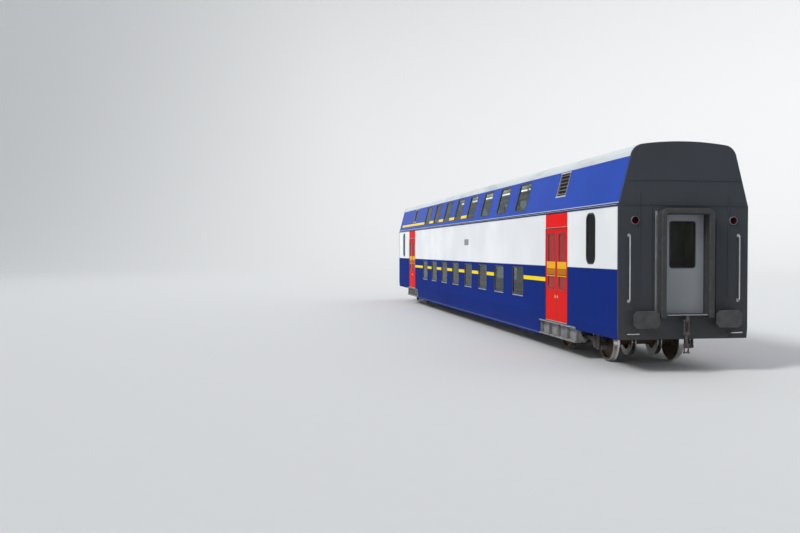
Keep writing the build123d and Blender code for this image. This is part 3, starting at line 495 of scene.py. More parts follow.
def weave_group():
    """Woven cloth: two crossed sets of threads, with flecks of a second colour in a diamond pattern, and painted
    shade between the threads.
    """
    net, given, out = shader_group(
        "woven_cloth",
        [
            ("Ground", "C", (0.02, 0.05, 0.2, 1)),
            ("Fleck", "C", (0.3, 0.4, 0.6, 1)),
            ("Threads", "F", 900.0),
        ],
        [("Colour", "C"), ("Height", "F")],
    )
    parts = net.parts(given["Vector"])
    across = net.math("SINE", net.times(parts[1], given["Threads"]))
    level = net.plus(parts[0], parts[2])
    along = net.math("SINE", net.times(level, given["Threads"]))
    height = net.times(across, along)
    cells = net.node("TexVoronoi", {"Vector": given["Vector"], "Scale": 26.0}, distance="MANHATTAN")
    fleck = net.ramp(cells.outputs["Distance"], 0.30, 0.22)
    fade = net.ramp(net.noise(given["Vector"], 7.0, 2.0), 0.3, 0.7, 0.2, 0.8)
    tone = net.mix(net.times(fleck, fade), given["Ground"], given["Fleck"])
    # painted shade: the tone darkens where the threads' height is low, in the hollows of the weave
    dark = net.mix(0.35, tone, (0.004, 0.006, 0.012, 1))
    net.feed(out["Colour"], net.mix(net.ramp(height, -0.6, 0.6), dark, tone))
    net.feed(out["Height"], height)


def brushed_group():
    """Fine scratches drawn along one direction: roughness and height of brushed metal."""
    net, given, out = shader_group("brushed_metal", [("Roughness", "F", 0.3)], [("Roughness", "F"), ("Height", "F")])
    lines = net.noise(net.stretch(given["Vector"], (9.0, 420.0, 420.0)), 1.0, 2.0)
    cloud = net.noise(given["Vector"], 6.0, 3.0)
    spread = net.times(net.plus(lines, cloud), 0.16)
    net.feed(out["Roughness"], net.plus(given["Roughness"], spread, True))
    net.feed(out["Height"], lines)


FULL_TURN = 6.2832


def tread_group():
    """Height of a chequer plate: short crossed bars, sin(a + b) times sin(a - b)."""
    net, given, out = shader_group("chequer_plate", [("Pitch", "F", 0.028)], [("Height", "F")])
    parts = net.parts(given["Vector"])
    waves = []
    for slant in (1.0, -1.0):
        mixed = net.plus(parts[0], net.times(parts[1], slant))
        phase = net.math("DIVIDE", net.times(mixed, FULL_TURN), given["Pitch"])
        waves.append(net.math("SINE", phase))
    net.feed(out["Height"], net.ramp(net.times(*waves), 0.35, 0.7))


# Finishes


class Finish(Net):
    """One material: a Principled BSDF, and Object coordinates to lay patterns on."""

    def __init__(self, name, roughness=0.5, metallic=0.0, **plain):
        plain_one = bpy.data.materials.get(name)
        if plain_one:
            plain_one.name = f"packed_{name}"
        material = bpy.data.materials.new(name)
        material.use_nodes = True
        super().__init__(material.node_tree)
        self.tree.nodes.clear()
        self.shader = self.node("BsdfPrincipled")
        output = self.node("OutputMaterial")
        self.tree.links.new(self.shader.outputs[0], output.inputs["Surface"])
        self.where = self.node("TexCoord").outputs["Object"]
        self.set("Roughness", roughness)
        self.set("Metallic", metallic)
        for key, value in plain.items():
            self.set(key.replace("_", " "), value)

    def set(self, socket, value):
        self.feed(self.shader.inputs[socket], value)

    def bump(self, height, distance, strength=1.0):
        inputs = {"Height": height, "Distance": distance, "Strength": strength}
        self.set("Normal", self.node("Bump", inputs).outputs[0])

    def patches(self, scale, detail, low=0.3, high=0.7, start=0.0, stop=1.0, rough=0.55):
        """Soft patches over the surface: noise, stepped smoothly between two levels."""
        return self.ramp(self.noise(self.where, scale, detail, rough), low, high, start, stop)

    def tones(self, factor, first, second):
        """Base colour between two colours."""
        self.set("Base Color", self.mix(factor, rgba(first), rgba(second)))

    def pattern(self, name, **inputs):
        """Outputs of a shader group laid on the surface; an underscore in a keyword stands for a space."""
        node = self.node("Group", node_tree=bpy.data.node_groups[name])
        for key, value in {"Vector": self.where, **inputs}.items():
            self.feed(node.inputs[key.replace("_", " ")], value)
        return node.outputs

    def dust(self, colour, dust, amount, clean_height, roughness):
        given = {"Colour": colour, "Dust": rgba(dust), "Amount": amount, "Roughness": roughness}
        dusty = self.pattern("road_dust", Clean_Height=clean_height, **given)
        self.set("Base Color", dusty["Colour"])
        self.set("Roughness", dusty["Roughness"])


LONGWAYS, CROSSWAYS = 0, 1
LINING = (0.50, 0.50, 0.48, 1)
SHEET_PITCH, NO_JOINTS = 3.74, 50.0


def lacquered(
    name, base, tints, dust, amount, clean_height, roughness=0.16, joints=SHEET_PITCH, gloss=0.1, lined=None
):
    """Coach paint under a clear coat; tints lists the areas of other colours, as (colour, mask builder). Faces
    that look inwards along the lined axis have the colour of the saloon's lining."""
    finish = Finish(name, Coat_Weight=gloss, Coat_Roughness=0.06, Specular_IOR_Level=0.0)
    tone = finish.mix(finish.patches(0.45, 2.0), rgba([v * 0.88 for v in base]), rgba(base))
    for tint, mask in tints:
        tone = finish.mix(mask(finish), tone, rgba(tint))
    joint = finish.pattern("sheet_joints", Pitch=joints)["Mask"]
    tone = finish.mix(finish.times(joint, 0.35), tone, (0.02, 0.02, 0.025, 1))
    if lined is not None:
        facing = finish.parts(finish.node("TexCoord").outputs["Normal"])[lined]
        spot = finish.parts(finish.where)
        inwards = finish.ramp(finish.times(facing, spot[lined]), -0.7, -0.3, 1.0, 0.0)
        above_floor = finish.ramp(spot[2], 0.44, 0.46)
        tone = finish.mix(finish.times(inwards, above_floor), tone, LINING)
    finish.dust(tone, dust, amount, clean_height, roughness)
    waves = finish.pattern("lacquer", Peel=0.02, Wave=1.0)[0]
    height = finish.minus(waves, finish.times(joint, 0.15))
    finish.bump(height, 0.004, 0.5)


def box_mask(x_low, x_high, z_low, z_high, mirrored=False):
    """Mask builder for a rectangle in x and z, on both ends of the coach if mirrored."""

    def mask(finish):
        x, _, z = finish.parts(finish.where)
        if mirrored:
            x = finish.math("ABSOLUTE", x)
        return finish.times(finish.band(x, x_low, x_high), finish.band(z, z_low, z_high))

    return mask


def painted_iron(name, base, dust, amount, roughness=0.55, bare=(0.32, 0.28, 0.25), lumps=0.6, wear=0.6):
    """Dull paint on steel, rubbed bright at edges and dusted from below."""
    finish = Finish(name)
    tone = finish.mix(finish.patches(5.0, 4.0), rgba([v * 0.7 for v in base]), rgba([v * 1.25 for v in base]))
    worn = finish.pattern("edge_wear", Amount=wear)[0]
    finish.dust(finish.mix(worn, tone, rgba(bare)), dust, amount, 1.5, roughness)
    finish.set("Metallic", finish.times(worn, 0.7))
    finish.bump(finish.pattern("casting", Lumps=lumps)[0], 0.0015)
    return finish


def bright_metal(name, base, roughness):
    """Brushed or worn bright metal with faint smears."""
    finish = Finish(name, metallic=1.0)
    finish.tones(finish.patches(9.0, 4.0, 0.35), [v * 0.82 for v in base], base)
    lines = finish.pattern("brushed_metal", Roughness=roughness)
    finish.set("Roughness", lines["Roughness"])
    finish.bump(lines["Height"], 0.0002)
    return finish


def black_rubber(name, base, roughness, dust=(0.10, 0.09, 0.08)):
    """Matt rubber with pale dust in patches and a fine grain."""
    finish = Finish(name)
    dusty = finish.patches(11.0, 5.0, 0.48, 0.78, 0.0, 0.5, 0.65)
    finish.tones(dusty, base, dust)
    finish.set("Roughness", finish.ramp(dusty, 0.0, 0.5, roughness, roughness + 0.25))
    finish.bump(finish.noise(finish.where, 320.0, 2.0), 0.0004)


def moulded(name, base, roughness, grain=0.0005):
    """Plastic or panel board: slight colour drift and a fine moulded grain."""
    finish = Finish(name)
    finish.tones(finish.patches(2.5, 3.0), [v * 0.85 for v in base], base)
    finish.set("Roughness", finish.patches(14.0, 3.0, start=roughness - 0.06, stop=roughness + 0.1))
    finish.bump(finish.noise(finish.where, 300.0, 2.0), grain)
    return finish


def clear_glass(name, tint, roughness=0.015, through=1.0):
    """Tinted safety glass, a little rougher where it is dusty."""
    finish = Finish(name, Transmission_Weight=through, IOR=1.12)
    haze = finish.patches(3.0, 5.0, 0.4, 0.8)
    finish.tones(haze, tint, [v * 0.8 + 0.01 for v in tint])
    finish.set("Roughness", finish.ramp(haze, 0.0, 1.0, roughness, roughness + 0.05))
    finish.bump(finish.noise(finish.where, 0.9, 1.0), 0.003, 0.35)


def glowing(name, tone, strength):
    """A lamp cover that gives light, a little uneven over its length."""
    finish = Finish(name, roughness=0.35)
    finish.set("Base Color", (0.8, 0.8, 0.8, 1))
    finish.set("Emission Color", finish.mix(finish.patches(3.0, 2.0), rgba([v * 0.8 for v in tone]), rgba(tone)))
    finish.set("Emission Strength", strength)


def wheel_steel(size, dust):
    """Rusty iron, bright on the tread: where sqrt(near * near + away * away) reaches the wheel's radius, with
    near the distance from the nearest axle along the coach and away the height over the axles."""
    wheel = painted_iron("wheel_steel", (0.085, 0.062, 0.048), dust, 0.3, 0.6, lumps=0.5, wear=0.3)
    spot = wheel.parts(wheel.where)
    away = wheel.minus(spot[2], size.axle_z)
    axles = [e * size.pivot_x + step * size.half_wheelbase for e in (1, -1) for step in (1, -1)]
    spread = [wheel.math("ABSOLUTE", wheel.minus(spot[0], axle)) for axle in axles]
    near = spread[0]
    for other in spread[1:]:
        near = wheel.math("MINIMUM", near, other)
    squares = [wheel.times(value, value) for value in (near, away)]
    radius = wheel.math("SQRT", wheel.plus(*squares))
    bright = wheel.ramp(radius, size.wheel_radius - 0.010, size.wheel_radius - 0.005)
    iron = wheel.mix(wheel.patches(9.0, 5.0, 0.35), (0.07, 0.05, 0.04, 1), (0.13, 0.075, 0.045, 1))
    wheel.set("Base Color", wheel.mix(bright, iron, (0.62, 0.61, 0.60, 1)))
    wheel.set("Metallic", bright)
    wheel.set("Roughness", wheel.ramp(bright, 0.0, 1.0, 0.72, 0.22))


# the side doors' glass gets a red tint that is a painted reflection; the end windows get a dark glass
SPECIAL = {"door_glass": "door_glass_red", "end_window_glass": "end_window_dark"}
NEAR_STRIPE_START, FAR_STRIPE_STOP = 7.06, 4.16
LOWER_STRIPE = (1.69, 1.79)
SKIRT_LINE = (0.372, 0.392)
UPPER_STRIPE = (-12.6, 0.44, 3.56, 3.655)
PAST_THE_END = 14


class COACH_OT_finishes(bpy.types.Operator):
    """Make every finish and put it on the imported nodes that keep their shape"""

    bl_idname = "coach.finishes"
    bl_label = "Finishes"

    def execute(self, context):
        size, tone = context.scene.coach_sizes, context.scene.coach_colours
        for build in (
            road_dust_group,
            lacquer_group,
            sheet_joint_group,
            wear_group,
            casting_group,
            weave_group,
            brushed_group,
            tread_group,
        ):
            build()
        dust = tone.dust
        saloon, past_door = size.door_x - size.door_width / 2, size.door_x + size.door_width / 2
        # tops of a painted shadow band along the gutter and of a painted highlight line over it, on the blue paint
        shadow, glint = size.shoulder + 0.072, size.shoulder + 0.090

        lacquered(
            "navy_paint",
            tone.navy,
            [
                (tone.yellow, box_mask(NEAR_STRIPE_START, saloon, *LOWER_STRIPE)),
                (tone.yellow, box_mask(-saloon, FAR_STRIPE_STOP, *LOWER_STRIPE)),
                ((0.11, 0.17, 0.42), box_mask(-saloon, saloon, *SKIRT_LINE)),
            ],
            dust,
            amount=0.3,
            clean_height=1.3,
            gloss=0.04,
            lined=CROSSWAYS,
        )
        lacquered(
            "white_paint",
            tone.white,
            [(tone.red, box_mask(saloon, past_door, size.door_head - 0.01, size.shoulder + 0.1, True))],
            dust,
            amount=0.10,
            clean_height=2.6,
            roughness=0.2,
            lined=CROSSWAYS,
        )
        lacquered(
            "blue_paint",
            tone.blue,
            [
                # painted shadow: a near-black band at the foot of the upper sides along the gutter, then a painted
                # highlight: a pale line over it
                ((0.006, 0.012, 0.06), box_mask(-PAST_THE_END, PAST_THE_END, size.shoulder, shadow)),
                ((0.42, 0.50, 0.66), box_mask(-PAST_THE_END, PAST_THE_END, shadow, glint)),
                (tone.yellow, box_mask(*UPPER_STRIPE)),
            ],
            dust,
            amount=0.18,
            clean_height=4.2,
            roughness=0.12,
            gloss=0.3,
            lined=CROSSWAYS,
        )
        # paints without sheet joints: name, colour, amount of dust, clean height, roughness
        for name, base, amount, clean, rough in (
            ("door_red", tone.red, 0.25, 1.3, 0.16),
            ("door_band_top", (0.88, 0.46, 0.02), 0.05, 1.3, 0.16),
            ("door_band_middle", (0.50, 0.17, 0.012), 0.05, 1.3, 0.16),
            ("gutter_paint", (0.03, 0.045, 0.13), 0.25, 4.0, 0.3),
            ("end_door_paint", (0.30, 0.32, 0.34), 0.25, 3.0, 0.35),
            ("pale_trim", (0.62, 0.65, 0.68), 0.2, 2.5, 0.3),
            ("yellow_enamel", tone.yellow, 0.08, 2.0, 0.3),
        ):
            lacquered(name, base, [], dust, amount, clean, rough, NO_JOINTS)
        lacquered("end_paint", tone.end_grey, [], dust, 0.55, 3.4, 0.42, NO_JOINTS, lined=LONGWAYS)

        roof = painted_iron("roof_paint", tone.roof, (0.16, 0.15, 0.14), 0.5, 0.5, lumps=0.1, wear=0.0)
        soot = roof.noise(roof.stretch(roof.where, (0.5, 2.5, 2.5)), 1.0, 5.0, 0.65)
        roof.tones(roof.ramp(soot, 0.45, 0.8), tone.roof, [v * 0.68 for v in tone.roof])

        painted_iron("underbody_paint", tone.underbody, dust, 0.8)
        painted_iron("bogie_paint", tone.bogie, dust, 0.9, 0.6, lumps=0.9)
        painted_iron("axle_box_iron", (0.075, 0.068, 0.060), dust, 0.8, 0.65, lumps=1.4)
        painted_iron("forged_steel", (0.070, 0.062, 0.055), dust, 0.6, 0.6, (0.42, 0.39, 0.36), 1.2, 1.0)
        painted_iron("buffer_steel", (0.045, 0.045, 0.048), dust, 0.4, 0.4, (0.40, 0.38, 0.36), 0.4, 1.0)
        painted_iron("spring_steel", (0.03, 0.03, 0.032), dust, 0.5, 0.45, lumps=0.2)
        painted_iron("step_paint", (0.26, 0.27, 0.28), dust, 0.75, 0.55, (0.5, 0.5, 0.5), 0.3, 1.0)
        painted_iron("grille_metal", (0.30, 0.28, 0.25), (0.12, 0.10, 0.08), 0.3, 0.5, (0.6, 0.58, 0.55))

        wheel_steel(size, dust)
        bright_metal("disc_steel", (0.50, 0.48, 0.46), 0.3)
        bright_metal("pole_steel", (0.70, 0.70, 0.70), 0.2)
        bright_metal("bright_trim", (0.72, 0.73, 0.74), 0.25)
        chequer = bright_metal("tread_plate", (0.45, 0.45, 0.46), 0.35)
        chequer.bump(chequer.pattern("chequer_plate")[0], 0.002)

        black_rubber("gangway_rubber", (0.030, 0.030, 0.032), 0.6)
        black_rubber("window_rubber", (0.018, 0.018, 0.019), 0.5)
        black_rubber("door_seal_rubber", (0.16, 0.012, 0.012), 0.5, (0.24, 0.05, 0.04))
        black_rubber("spring_rubber", (0.020, 0.020, 0.021), 0.55)

        moulded("ceiling_panel", (0.72, 0.72, 0.70), 0.5)
        moulded("wall_panel", (0.55, 0.56, 0.56), 0.45)
        moulded("seat_shell", (0.12, 0.13, 0.15), 0.4)
        # painted shade behind the intake grilles
        moulded("grille_shadow", (0.015, 0.014, 0.013), 0.8)
        floor = moulded("floor_covering", (0.11, 0.12, 0.14), 0.55, 0.0004)
        floor.tones(floor.patches(120.0, 1.0, 0.6), (0.07, 0.075, 0.09), (0.26, 0.27, 0.30))
        stair = moulded("stair_covering", (0.10, 0.105, 0.12), 0.6, 0.0006)
        ribs = stair.node("TexWave", {"Vector": stair.where, "Scale": 18.0}).outputs["Fac"]
        stair.bump(ribs, 0.001)

        display = Finish("display_glass", Coat_Weight=1.0, Coat_Roughness=0.02)
        smoke = display.patches(5.0, 3.0)
        display.tones(smoke, (0.006, 0.006, 0.008), (0.014, 0.014, 0.018))
        display.set("Roughness", display.ramp(smoke, 0.0, 1.0, 0.05, 0.16))

        clear_glass("tinted_glass", (0.34, 0.42, 0.40))
        clear_glass("end_window_dark", (0.07, 0.12, 0.105), 0.03)
        # painted reflection: the door glass is tinted red and lets little light through, standing for a red
        # reflection in the door windows
        clear_glass("door_glass_red", (0.47, 0.03, 0.032), 0.08, 0.3)
        clear_glass("end_door_glass_clear", (0.75, 0.80, 0.79))
        clear_glass("tail_lens", (0.75, 0.01, 0.01), 0.1)
        glowing("lamp_cover", (1.0, 0.93, 0.80), 4.0)

        cloth = Finish("seat_cloth", Sheen_Weight=0.6, Sheen_Roughness=0.5, roughness=0.9)
        weave = cloth.pattern("woven_cloth", Ground=rgba(tone.cloth), Fleck=rgba(tone.cloth_fleck))
        cloth.set("Base Color", weave["Colour"])
        cloth.bump(weave["Height"], 0.0006)

        slots = {row["node"]: row["material_slot"] for row in RECORD["subparts"]}
        for name, node in NODES.items():
            finish = SPECIAL.get(name.rsplit("_", 1)[0], SPECIAL.get(name, slots[name]))
            if not node.material_slots:
                node.data.materials.append(None)
            for holder in node.material_slots:
                holder.material = bpy.data.materials[finish]
        return {"FINISHED"}


# Pieces on the shell


def window_centres(size):
    """Middles of the saloon windows along the coach."""
    return (np.arange(size.windows) - (size.windows - 1) / 2) * size.window_pitch


def on_side(size, side, xs, z):
    """Points on the upright part of one side."""
    xs = np.atleast_1d(xs)
    return np.stack([xs, np.full(len(xs), side * size.half_width), np.full(len(xs), z)], -1)


def lean_of(size):
    """How far the upper sides lean in for each metre up."""
    return (size.half_width - size.half_roof_edge) / (size.roof_edge - size.shoulder)


def on_upper(size, side, xs, z, lift=0.0):
    """Points on one leaning upper side at height z, moved outwards by lift."""
    lean = lean_of(size)
    xs = np.atleast_1d(xs)
    y = side * (size.half_width - lean * (z - size.shoulder))
    return np.stack([xs, np.full(len(xs), y), np.full(len(xs), z)], -1) + lift * side_axes(side, lean)[2]


def gasket_section(depth):
    """Section of a window rubber: a lip on the paint, a rounded nose and a skirt down to the glass."""
    return [
        (0.014, 0.0),
        (0.0125, 0.003),
        (0.007, 0.0045),
        (-0.006, 0.0045),
        (-0.013, 0.002),
        (-0.019, -0.006),
        (-0.022, -depth + 0.0005),
        (-0.015, -depth + 0.0005),
        (-0.003, -0.003),
    ]


END_WINDOW_CORNER = 0.16
SILL_DROP = 0.036
RAIL_RISE, RAIL_DEPTH = 0.11, 0.075


class COACH_OT_window_rubbers(bpy.types.Operator):
    """Rounded rubber frames round the windows, sill lines under the lower ones, rails behind the upper ones"""

    bl_idname = "coach.window_rubbers"
    bl_label = "Window rubbers"

    def execute(self, context):
        size = context.scene.coach_sizes
        lean = lean_of(size)
        xs = window_centres(size)
        ends = np.array([-size.end_window_x, size.end_window_x])
        section = gasket_section(size.glass_depth)
        lower, upper, sills = [], [], []
        saloon, end = (size.gasket_corner, 6), (END_WINDOW_CORNER, 8)
        # rows of windows: pieces, places along, width, foot, head, corner and its steps, lean, face
        rows = (
            (lower, xs, size.window_width, size.lower_bottom, size.lower_top, saloon, 0.0, on_side),
            (upper, xs, size.window_width, size.upper_bottom, size.upper_top, saloon, lean, on_upper),
            (lower, ends, size.end_window_width, size.end_window_bottom, size.end_window_top, end, 0.0, on_side),
        )
        for side in SIDES:
            for parts, places, width, foot, head, (corner, steps), tilt, face in rows:
                grid = ring(width, (head - foot) * math.hypot(1, tilt), corner, section, steps)
                middles = face(size, side, places, (head + foot) / 2)
                parts.append(framed(grid, middles, side_axes(side, tilt)))
            sill = on_side(size, side, xs, size.lower_bottom - SILL_DROP)
            sills.append(block(sill, (size.window_width * 0.94, 0.022, 0.004), side_axes(side), 0.004, 0.001))
            rail = on_upper(size, side, xs, size.upper_bottom + RAIL_RISE, -RAIL_DEPTH)
            form = (size.window_width * 0.98, 0.022, 0.014)
            sills.append(block(rail, form, side_axes(side, lean), 0.006, 0.003))
        make("lower_window_rubbers", lower, "window_rubber")
        make("upper_window_rubbers", upper, "window_rubber")
        make("window_sill_lines", sills, "bright_trim")
        return {"FINISHED"}


class COACH_OT_waist_lines(bpy.types.Operator):
    """Thin mouldings along the sides: under the white band, and the lip of the gutter over it"""

    bl_idname = "coach.waist_lines"
    bl_label = "Waist lines"

    def execute(self, context):
        size = context.scene.coach_sizes
        reach = size.half_body - 0.06
        near_door, far_door = size.door_x - size.door_width / 2, size.door_x + size.door_width / 2
        line = np.array([(0, -0.006), (0.004, -0.004), (0.004, 0.004), (0, 0.006)])
        lip = np.array([(0, 0), (0.0235, 0), (0.0235, 0.006), (0, 0.006)])
        parts = []
        for side in SIDES:
            y = side * size.half_width
            for start, stop in ((-reach, -far_door), (-near_door, near_door), (far_door, reach)):
                parts.append(bar(line * (side, 1) + (y, size.waist), start, stop))
            parts.append(bar(lip * (side, 1) + (y, size.shoulder + 0.0345), -reach, reach))
        make("side_mouldings", parts, "pale_trim")
        return {"FINISHED"}


DOOR_BUTTON_HEIGHT = 1.35
# a bright strip across each leaf, a deeper one below it and a thin line: middles and heights
DOOR_BANDS = (2.1025, 1.9485, 1.843), (0.161, 0.147, 0.022)


class COACH_OT_side_doors(bpy.types.Operator):
    """Rubbers, opening buttons, bands, thresholds and drip rails of the side doors"""

    bl_idname = "coach.side_doors"
    bl_label = "Side doors"

    def execute(self, context):
        size = context.scene.coach_sizes
        rubbers, seals, bright, yellow, amber, buttons = [], [], [], [], [], []
        height = size.door_head - size.door_sill
        middle = (size.door_head + size.door_sill) / 2
        window_height = size.door_window_top - size.door_window_bottom
        window_middle = (size.door_window_top + size.door_window_bottom) / 2
        leaves = np.array([e * size.door_x + s * size.leaf_offset for e in ENDS.values() for s in SIDES])
        doorways = np.array([-size.door_x, size.door_x])
        lip = [(0.012, 0), (0.010, 0.0035), (-0.004, 0.0035), (-0.006, -0.012), (0, -0.012)]
        frame_ring = ring(size.door_width, height, 0.02, lip)
        gasket = gasket_section(size.glass_depth)
        window_ring = ring(size.door_window_width, window_height, size.gasket_corner, gasket)
        for side in SIDES:
            axes = side_axes(side)
            face = (0, -side * size.door_inset, 0)
            rubbers.append(framed(frame_ring, on_side(size, side, doorways, middle), axes))
            spots = on_side(size, side, leaves, window_middle) + face
            seals.append(framed(window_ring, spots, axes))
            spots = on_side(size, side, doorways, middle) + np.array((0, -side * 0.030, 0))
            seals.append(block(spots, (0.030, height - 0.03, 0.026), axes, 0.01, 0.004))
            # a bright threshold plate on the sill, and a drip rail over the header
            spots = on_side(size, side, doorways, size.door_sill + 0.010) + np.array((0, -side * 0.004, 0))
            bright.append(block(spots, (size.door_width - 0.02, 0.016, 0.006), axes, 0.004, 0.0015))
            spots = on_side(size, side, doorways, size.door_head + 0.018)
            bright.append(block(spots, (size.door_width + 0.02, 0.010, 0.006), axes, 0.004, 0.002))
            # opener: a round button in a bezel on each leaf's closing edge
            spots = on_side(size, side, leaves, DOOR_BUTTON_HEIGHT) + face
            inward = np.where(np.abs(leaves) > size.door_x, -1, 1) * np.sign(leaves)
            spots = spots + np.stack([inward * 0.30, 0 * inward, 0 * inward], -1)
            bright.append(lathe(stud(0.036, 0.004, 0.030, 0.006), spots, axes, 24))
            buttons.append(lathe(stud(0.022, 0.007, 0.017, 0.0078, base=0.0055), spots, axes, 24))
            for z, tall, strips in zip(*DOOR_BANDS, (yellow, amber, yellow)):
                spots = on_side(size, side, leaves, z) + face
                strips.append(block(spots, (0.60, tall, 0.0055), axes, 0.004, 0.001))
        make("door_rubbers", rubbers, "window_rubber")
        make("door_bright_trim", bright, "bright_trim")
        make("door_seals", seals, "door_seal_rubber")
        make("door_bands_bright", yellow, "door_band_top")
        make("door_bands_deep", amber, "door_band_middle")
        make("door_buttons", buttons, "yellow_enamel")
        return {"FINISHED"}


class COACH_OT_door_steps(bpy.types.Operator):
    """Grip strips and bracket plates of the door steps"""

    bl_idname = "coach.door_steps"
    bl_label = "Door steps"

    def execute(self, context):
        size = context.scene.coach_sizes
        grips, plates = [], []
        under = size.step_bottom + 0.03
        grip = (size.step_length - 0.10, 0.010, 0.004)
        bracket = (0.008, 0.08, size.step_top - size.step_bottom - 0.06)
        for side in SIDES:
            for end in ENDS.values():
                for level in (size.step_top, under):
                    rows = [side * (size.half_width - 0.012 - 0.022 * row) for row in range(5)]
                    spots = [(end * size.door_x, y, level) for y in rows]
                    grips.append(block(spots, grip, radius=0.004, bevel=0.001))
                xs = end * size.door_x + np.linspace(-0.5, 0.5, 5) * (size.step_length - 0.06)
                spots = [(x, side * (size.half_width - 0.075), under) for x in xs]
                plates.append(block(spots, bracket, radius=0.003, bevel=0.001))
        make("step_grips", grips, "bright_trim")
        make("step_brackets", plates, "step_paint")
        return {"FINISHED"}


class COACH_OT_grilles(bpy.types.Operator):
    """Near-black sheets behind the intake grilles as painted shade, and the pale rims under and over them"""

    bl_idname = "coach.grilles"
    bl_label = "Intake grilles"

    def execute(self, context):
        size = context.scene.coach_sizes
        lean = lean_of(size)
        backs, rims = [], []
        height = (size.grille_top - size.grille_bottom) * math.hypot(1, lean)
        middle = (size.grille_top + size.grille_bottom) / 2
        xs = np.array([-size.door_x, size.door_x])
        for side in SIDES:
            axes = side_axes(side, lean)
            # painted shade: a near-black sheet behind each grille stands for the shade inside it
            spots = on_upper(size, side, xs, middle, -0.052)
            backs.append(block(spots, (size.grille_width - 0.004, height - 0.004, 0.008), axes, 0.01, 0.002))
            for z in (size.grille_bottom, size.grille_top - 0.012):
                spots = on_upper(size, side, xs, z, -0.0005)
                rims.append(block(spots, (size.grille_width + 0.03, 0.020, 0.005), axes, 0.006, 0.002))
        make("grille_shadow_backs", backs, "grille_shadow")
        make("grille_rims", rims, "pale_trim")
        return {"FINISHED"}


def roof_line(size, inset):
    """Half section of the roof, from its edge to the crown: a leaning line, a fillet and a wide arc."""
    lean, steep = lean_of(size), math.hypot(1, lean_of(size))
    edge = size.half_roof_edge - inset * steep
    corner = np.array([edge, size.roof_top - size.crown_rise - inset])
    corner[0] -= lean * (corner[1] - size.roof_edge)
    rise = size.crown_rise
    crown = (corner[0] ** 2 + rise**2) / (2 * rise)
    middle = np.array([0.0, size.roof_top - inset - crown])
    radius = size.roof_fillet - inset
    start = np.array([edge, size.roof_edge]) - radius * np.array([1, lean]) / steep
    climb = np.array([-lean, 1.0])
    # the fillet's centre is radius inside the leaning line and crown - radius from the arc's centre
    gap = start - middle
    a, b, c = climb @ climb, 2 * gap @ climb, gap @ gap - (crown - radius) ** 2
    centre = start + climb * (-b + math.sqrt(b * b - 4 * a * c)) / (2 * a)
    first = math.atan2(lean, 1)
    last = math.atan2(*(centre - middle)[::-1])
    bend = np.linspace(first, last, 12)
    fillet = centre + radius * np.stack([np.cos(bend), np.sin(bend)], -1)
    sweep = np.linspace(last, math.pi / 2, 16)[1:]
    arc = middle + crown * np.stack([np.cos(sweep), np.sin(sweep)], -1)
    return np.vstack([[(edge, size.roof_edge)], fillet, arc])


# beads along the roof: distance from its edge, half width, height
ROOF_BEADS = (
    (0.0455, 0.012, 0.0055),
    (0.104, 0.012, 0.0055),
    (0.47, 0.012, 0.0018),
    (0.75, 0.010, 0.0018),
    (1.02, 0.010, 0.0018),
)
SEAM_SPACING = 1.08


class COACH_OT_roof(bpy.types.Operator):
    """Smooth roof skin with seam beads near its edges and cross seams between its sheets"""

    bl_idname = "coach.roof"
    bl_label = "Roof"

    def execute(self, context):
        size = context.scene.coach_sizes
        reach = size.half_body - 0.06
        outer, inner = roof_line(size, 0.0025), roof_line(size, 0.06)
        outer[0], inner[0, 1] = (size.half_roof_edge - 0.0005, size.roof_edge), size.roof_edge
        loop = np.vstack([outer, (outer * (-1, 1))[-2::-1], inner * (-1, 1), inner[-2::-1]])
        make("roof_skin", [bar(loop, -reach, reach)], "roof_paint", replaces=["roof"])
        along = np.concatenate([[0], np.cumsum(np.linalg.norm(np.diff(outer, axis=0), axis=1))])

        def on_roof(distance):
            """The point of the half section at a distance along it from its edge."""
            return np.array([np.interp(distance, along, outer[:, k]) for k in (0, 1)])

        beads = []
        for distance, wide, high in ROOF_BEADS:
            spot = on_roof(distance)
            ahead = on_roof(distance + 0.01) - spot
            ahead /= np.linalg.norm(ahead)
            up = np.array([ahead[1], -ahead[0]])
            hump = [(-1.0, -0.001), (-0.7, high), (0.7, high), (1.0, -0.001)]
            outline = np.array([spot + wide * a * ahead + b * up for a, b in hump])
            for side in SIDES:
                beads.append(bar(outline * (side, 1), -reach, reach))
        whole = np.vstack([outer, (outer * (-1, 1))[-2::-1]])
        for x in np.arange(-6, 7) * size.window_pitch * SEAM_SPACING:
            path = np.concatenate([np.full((len(whole), 1), x), whole], 1)[1:-1]
            beads.append(pipe(path, 0.0022, sides=6, up=(1, 0, 0)))
        make("roof_beads", beads, "roof_paint")
        return {"FINISHED"}


# Pieces on the coach's ends


def inverted_u(width, foot, top, corner, steps=8):
    """Path of a gangway tube: up one side, over the doorway and down the other, as (y, z) points and the
    outward direction at each."""
    turn = np.radians(np.linspace(0, 90, steps + 1))
    right = np.stack([np.cos(turn), np.sin(turn)], -1)
    centre = np.array([width / 2 - corner, top - corner])
    arc = centre + corner * right
    path = np.vstack([[(width / 2, foot)], arc, (arc * (-1, 1))[::-1], [(-width / 2, foot)]])
    out = np.vstack([[(1, 0)], right, (right * (-1, 1))[::-1], [(-1, 0)]])
    return path, out


TUBE_WALL, TUBE_CORNER = 0.12, 0.09
CLAMP_BOLTS = 9


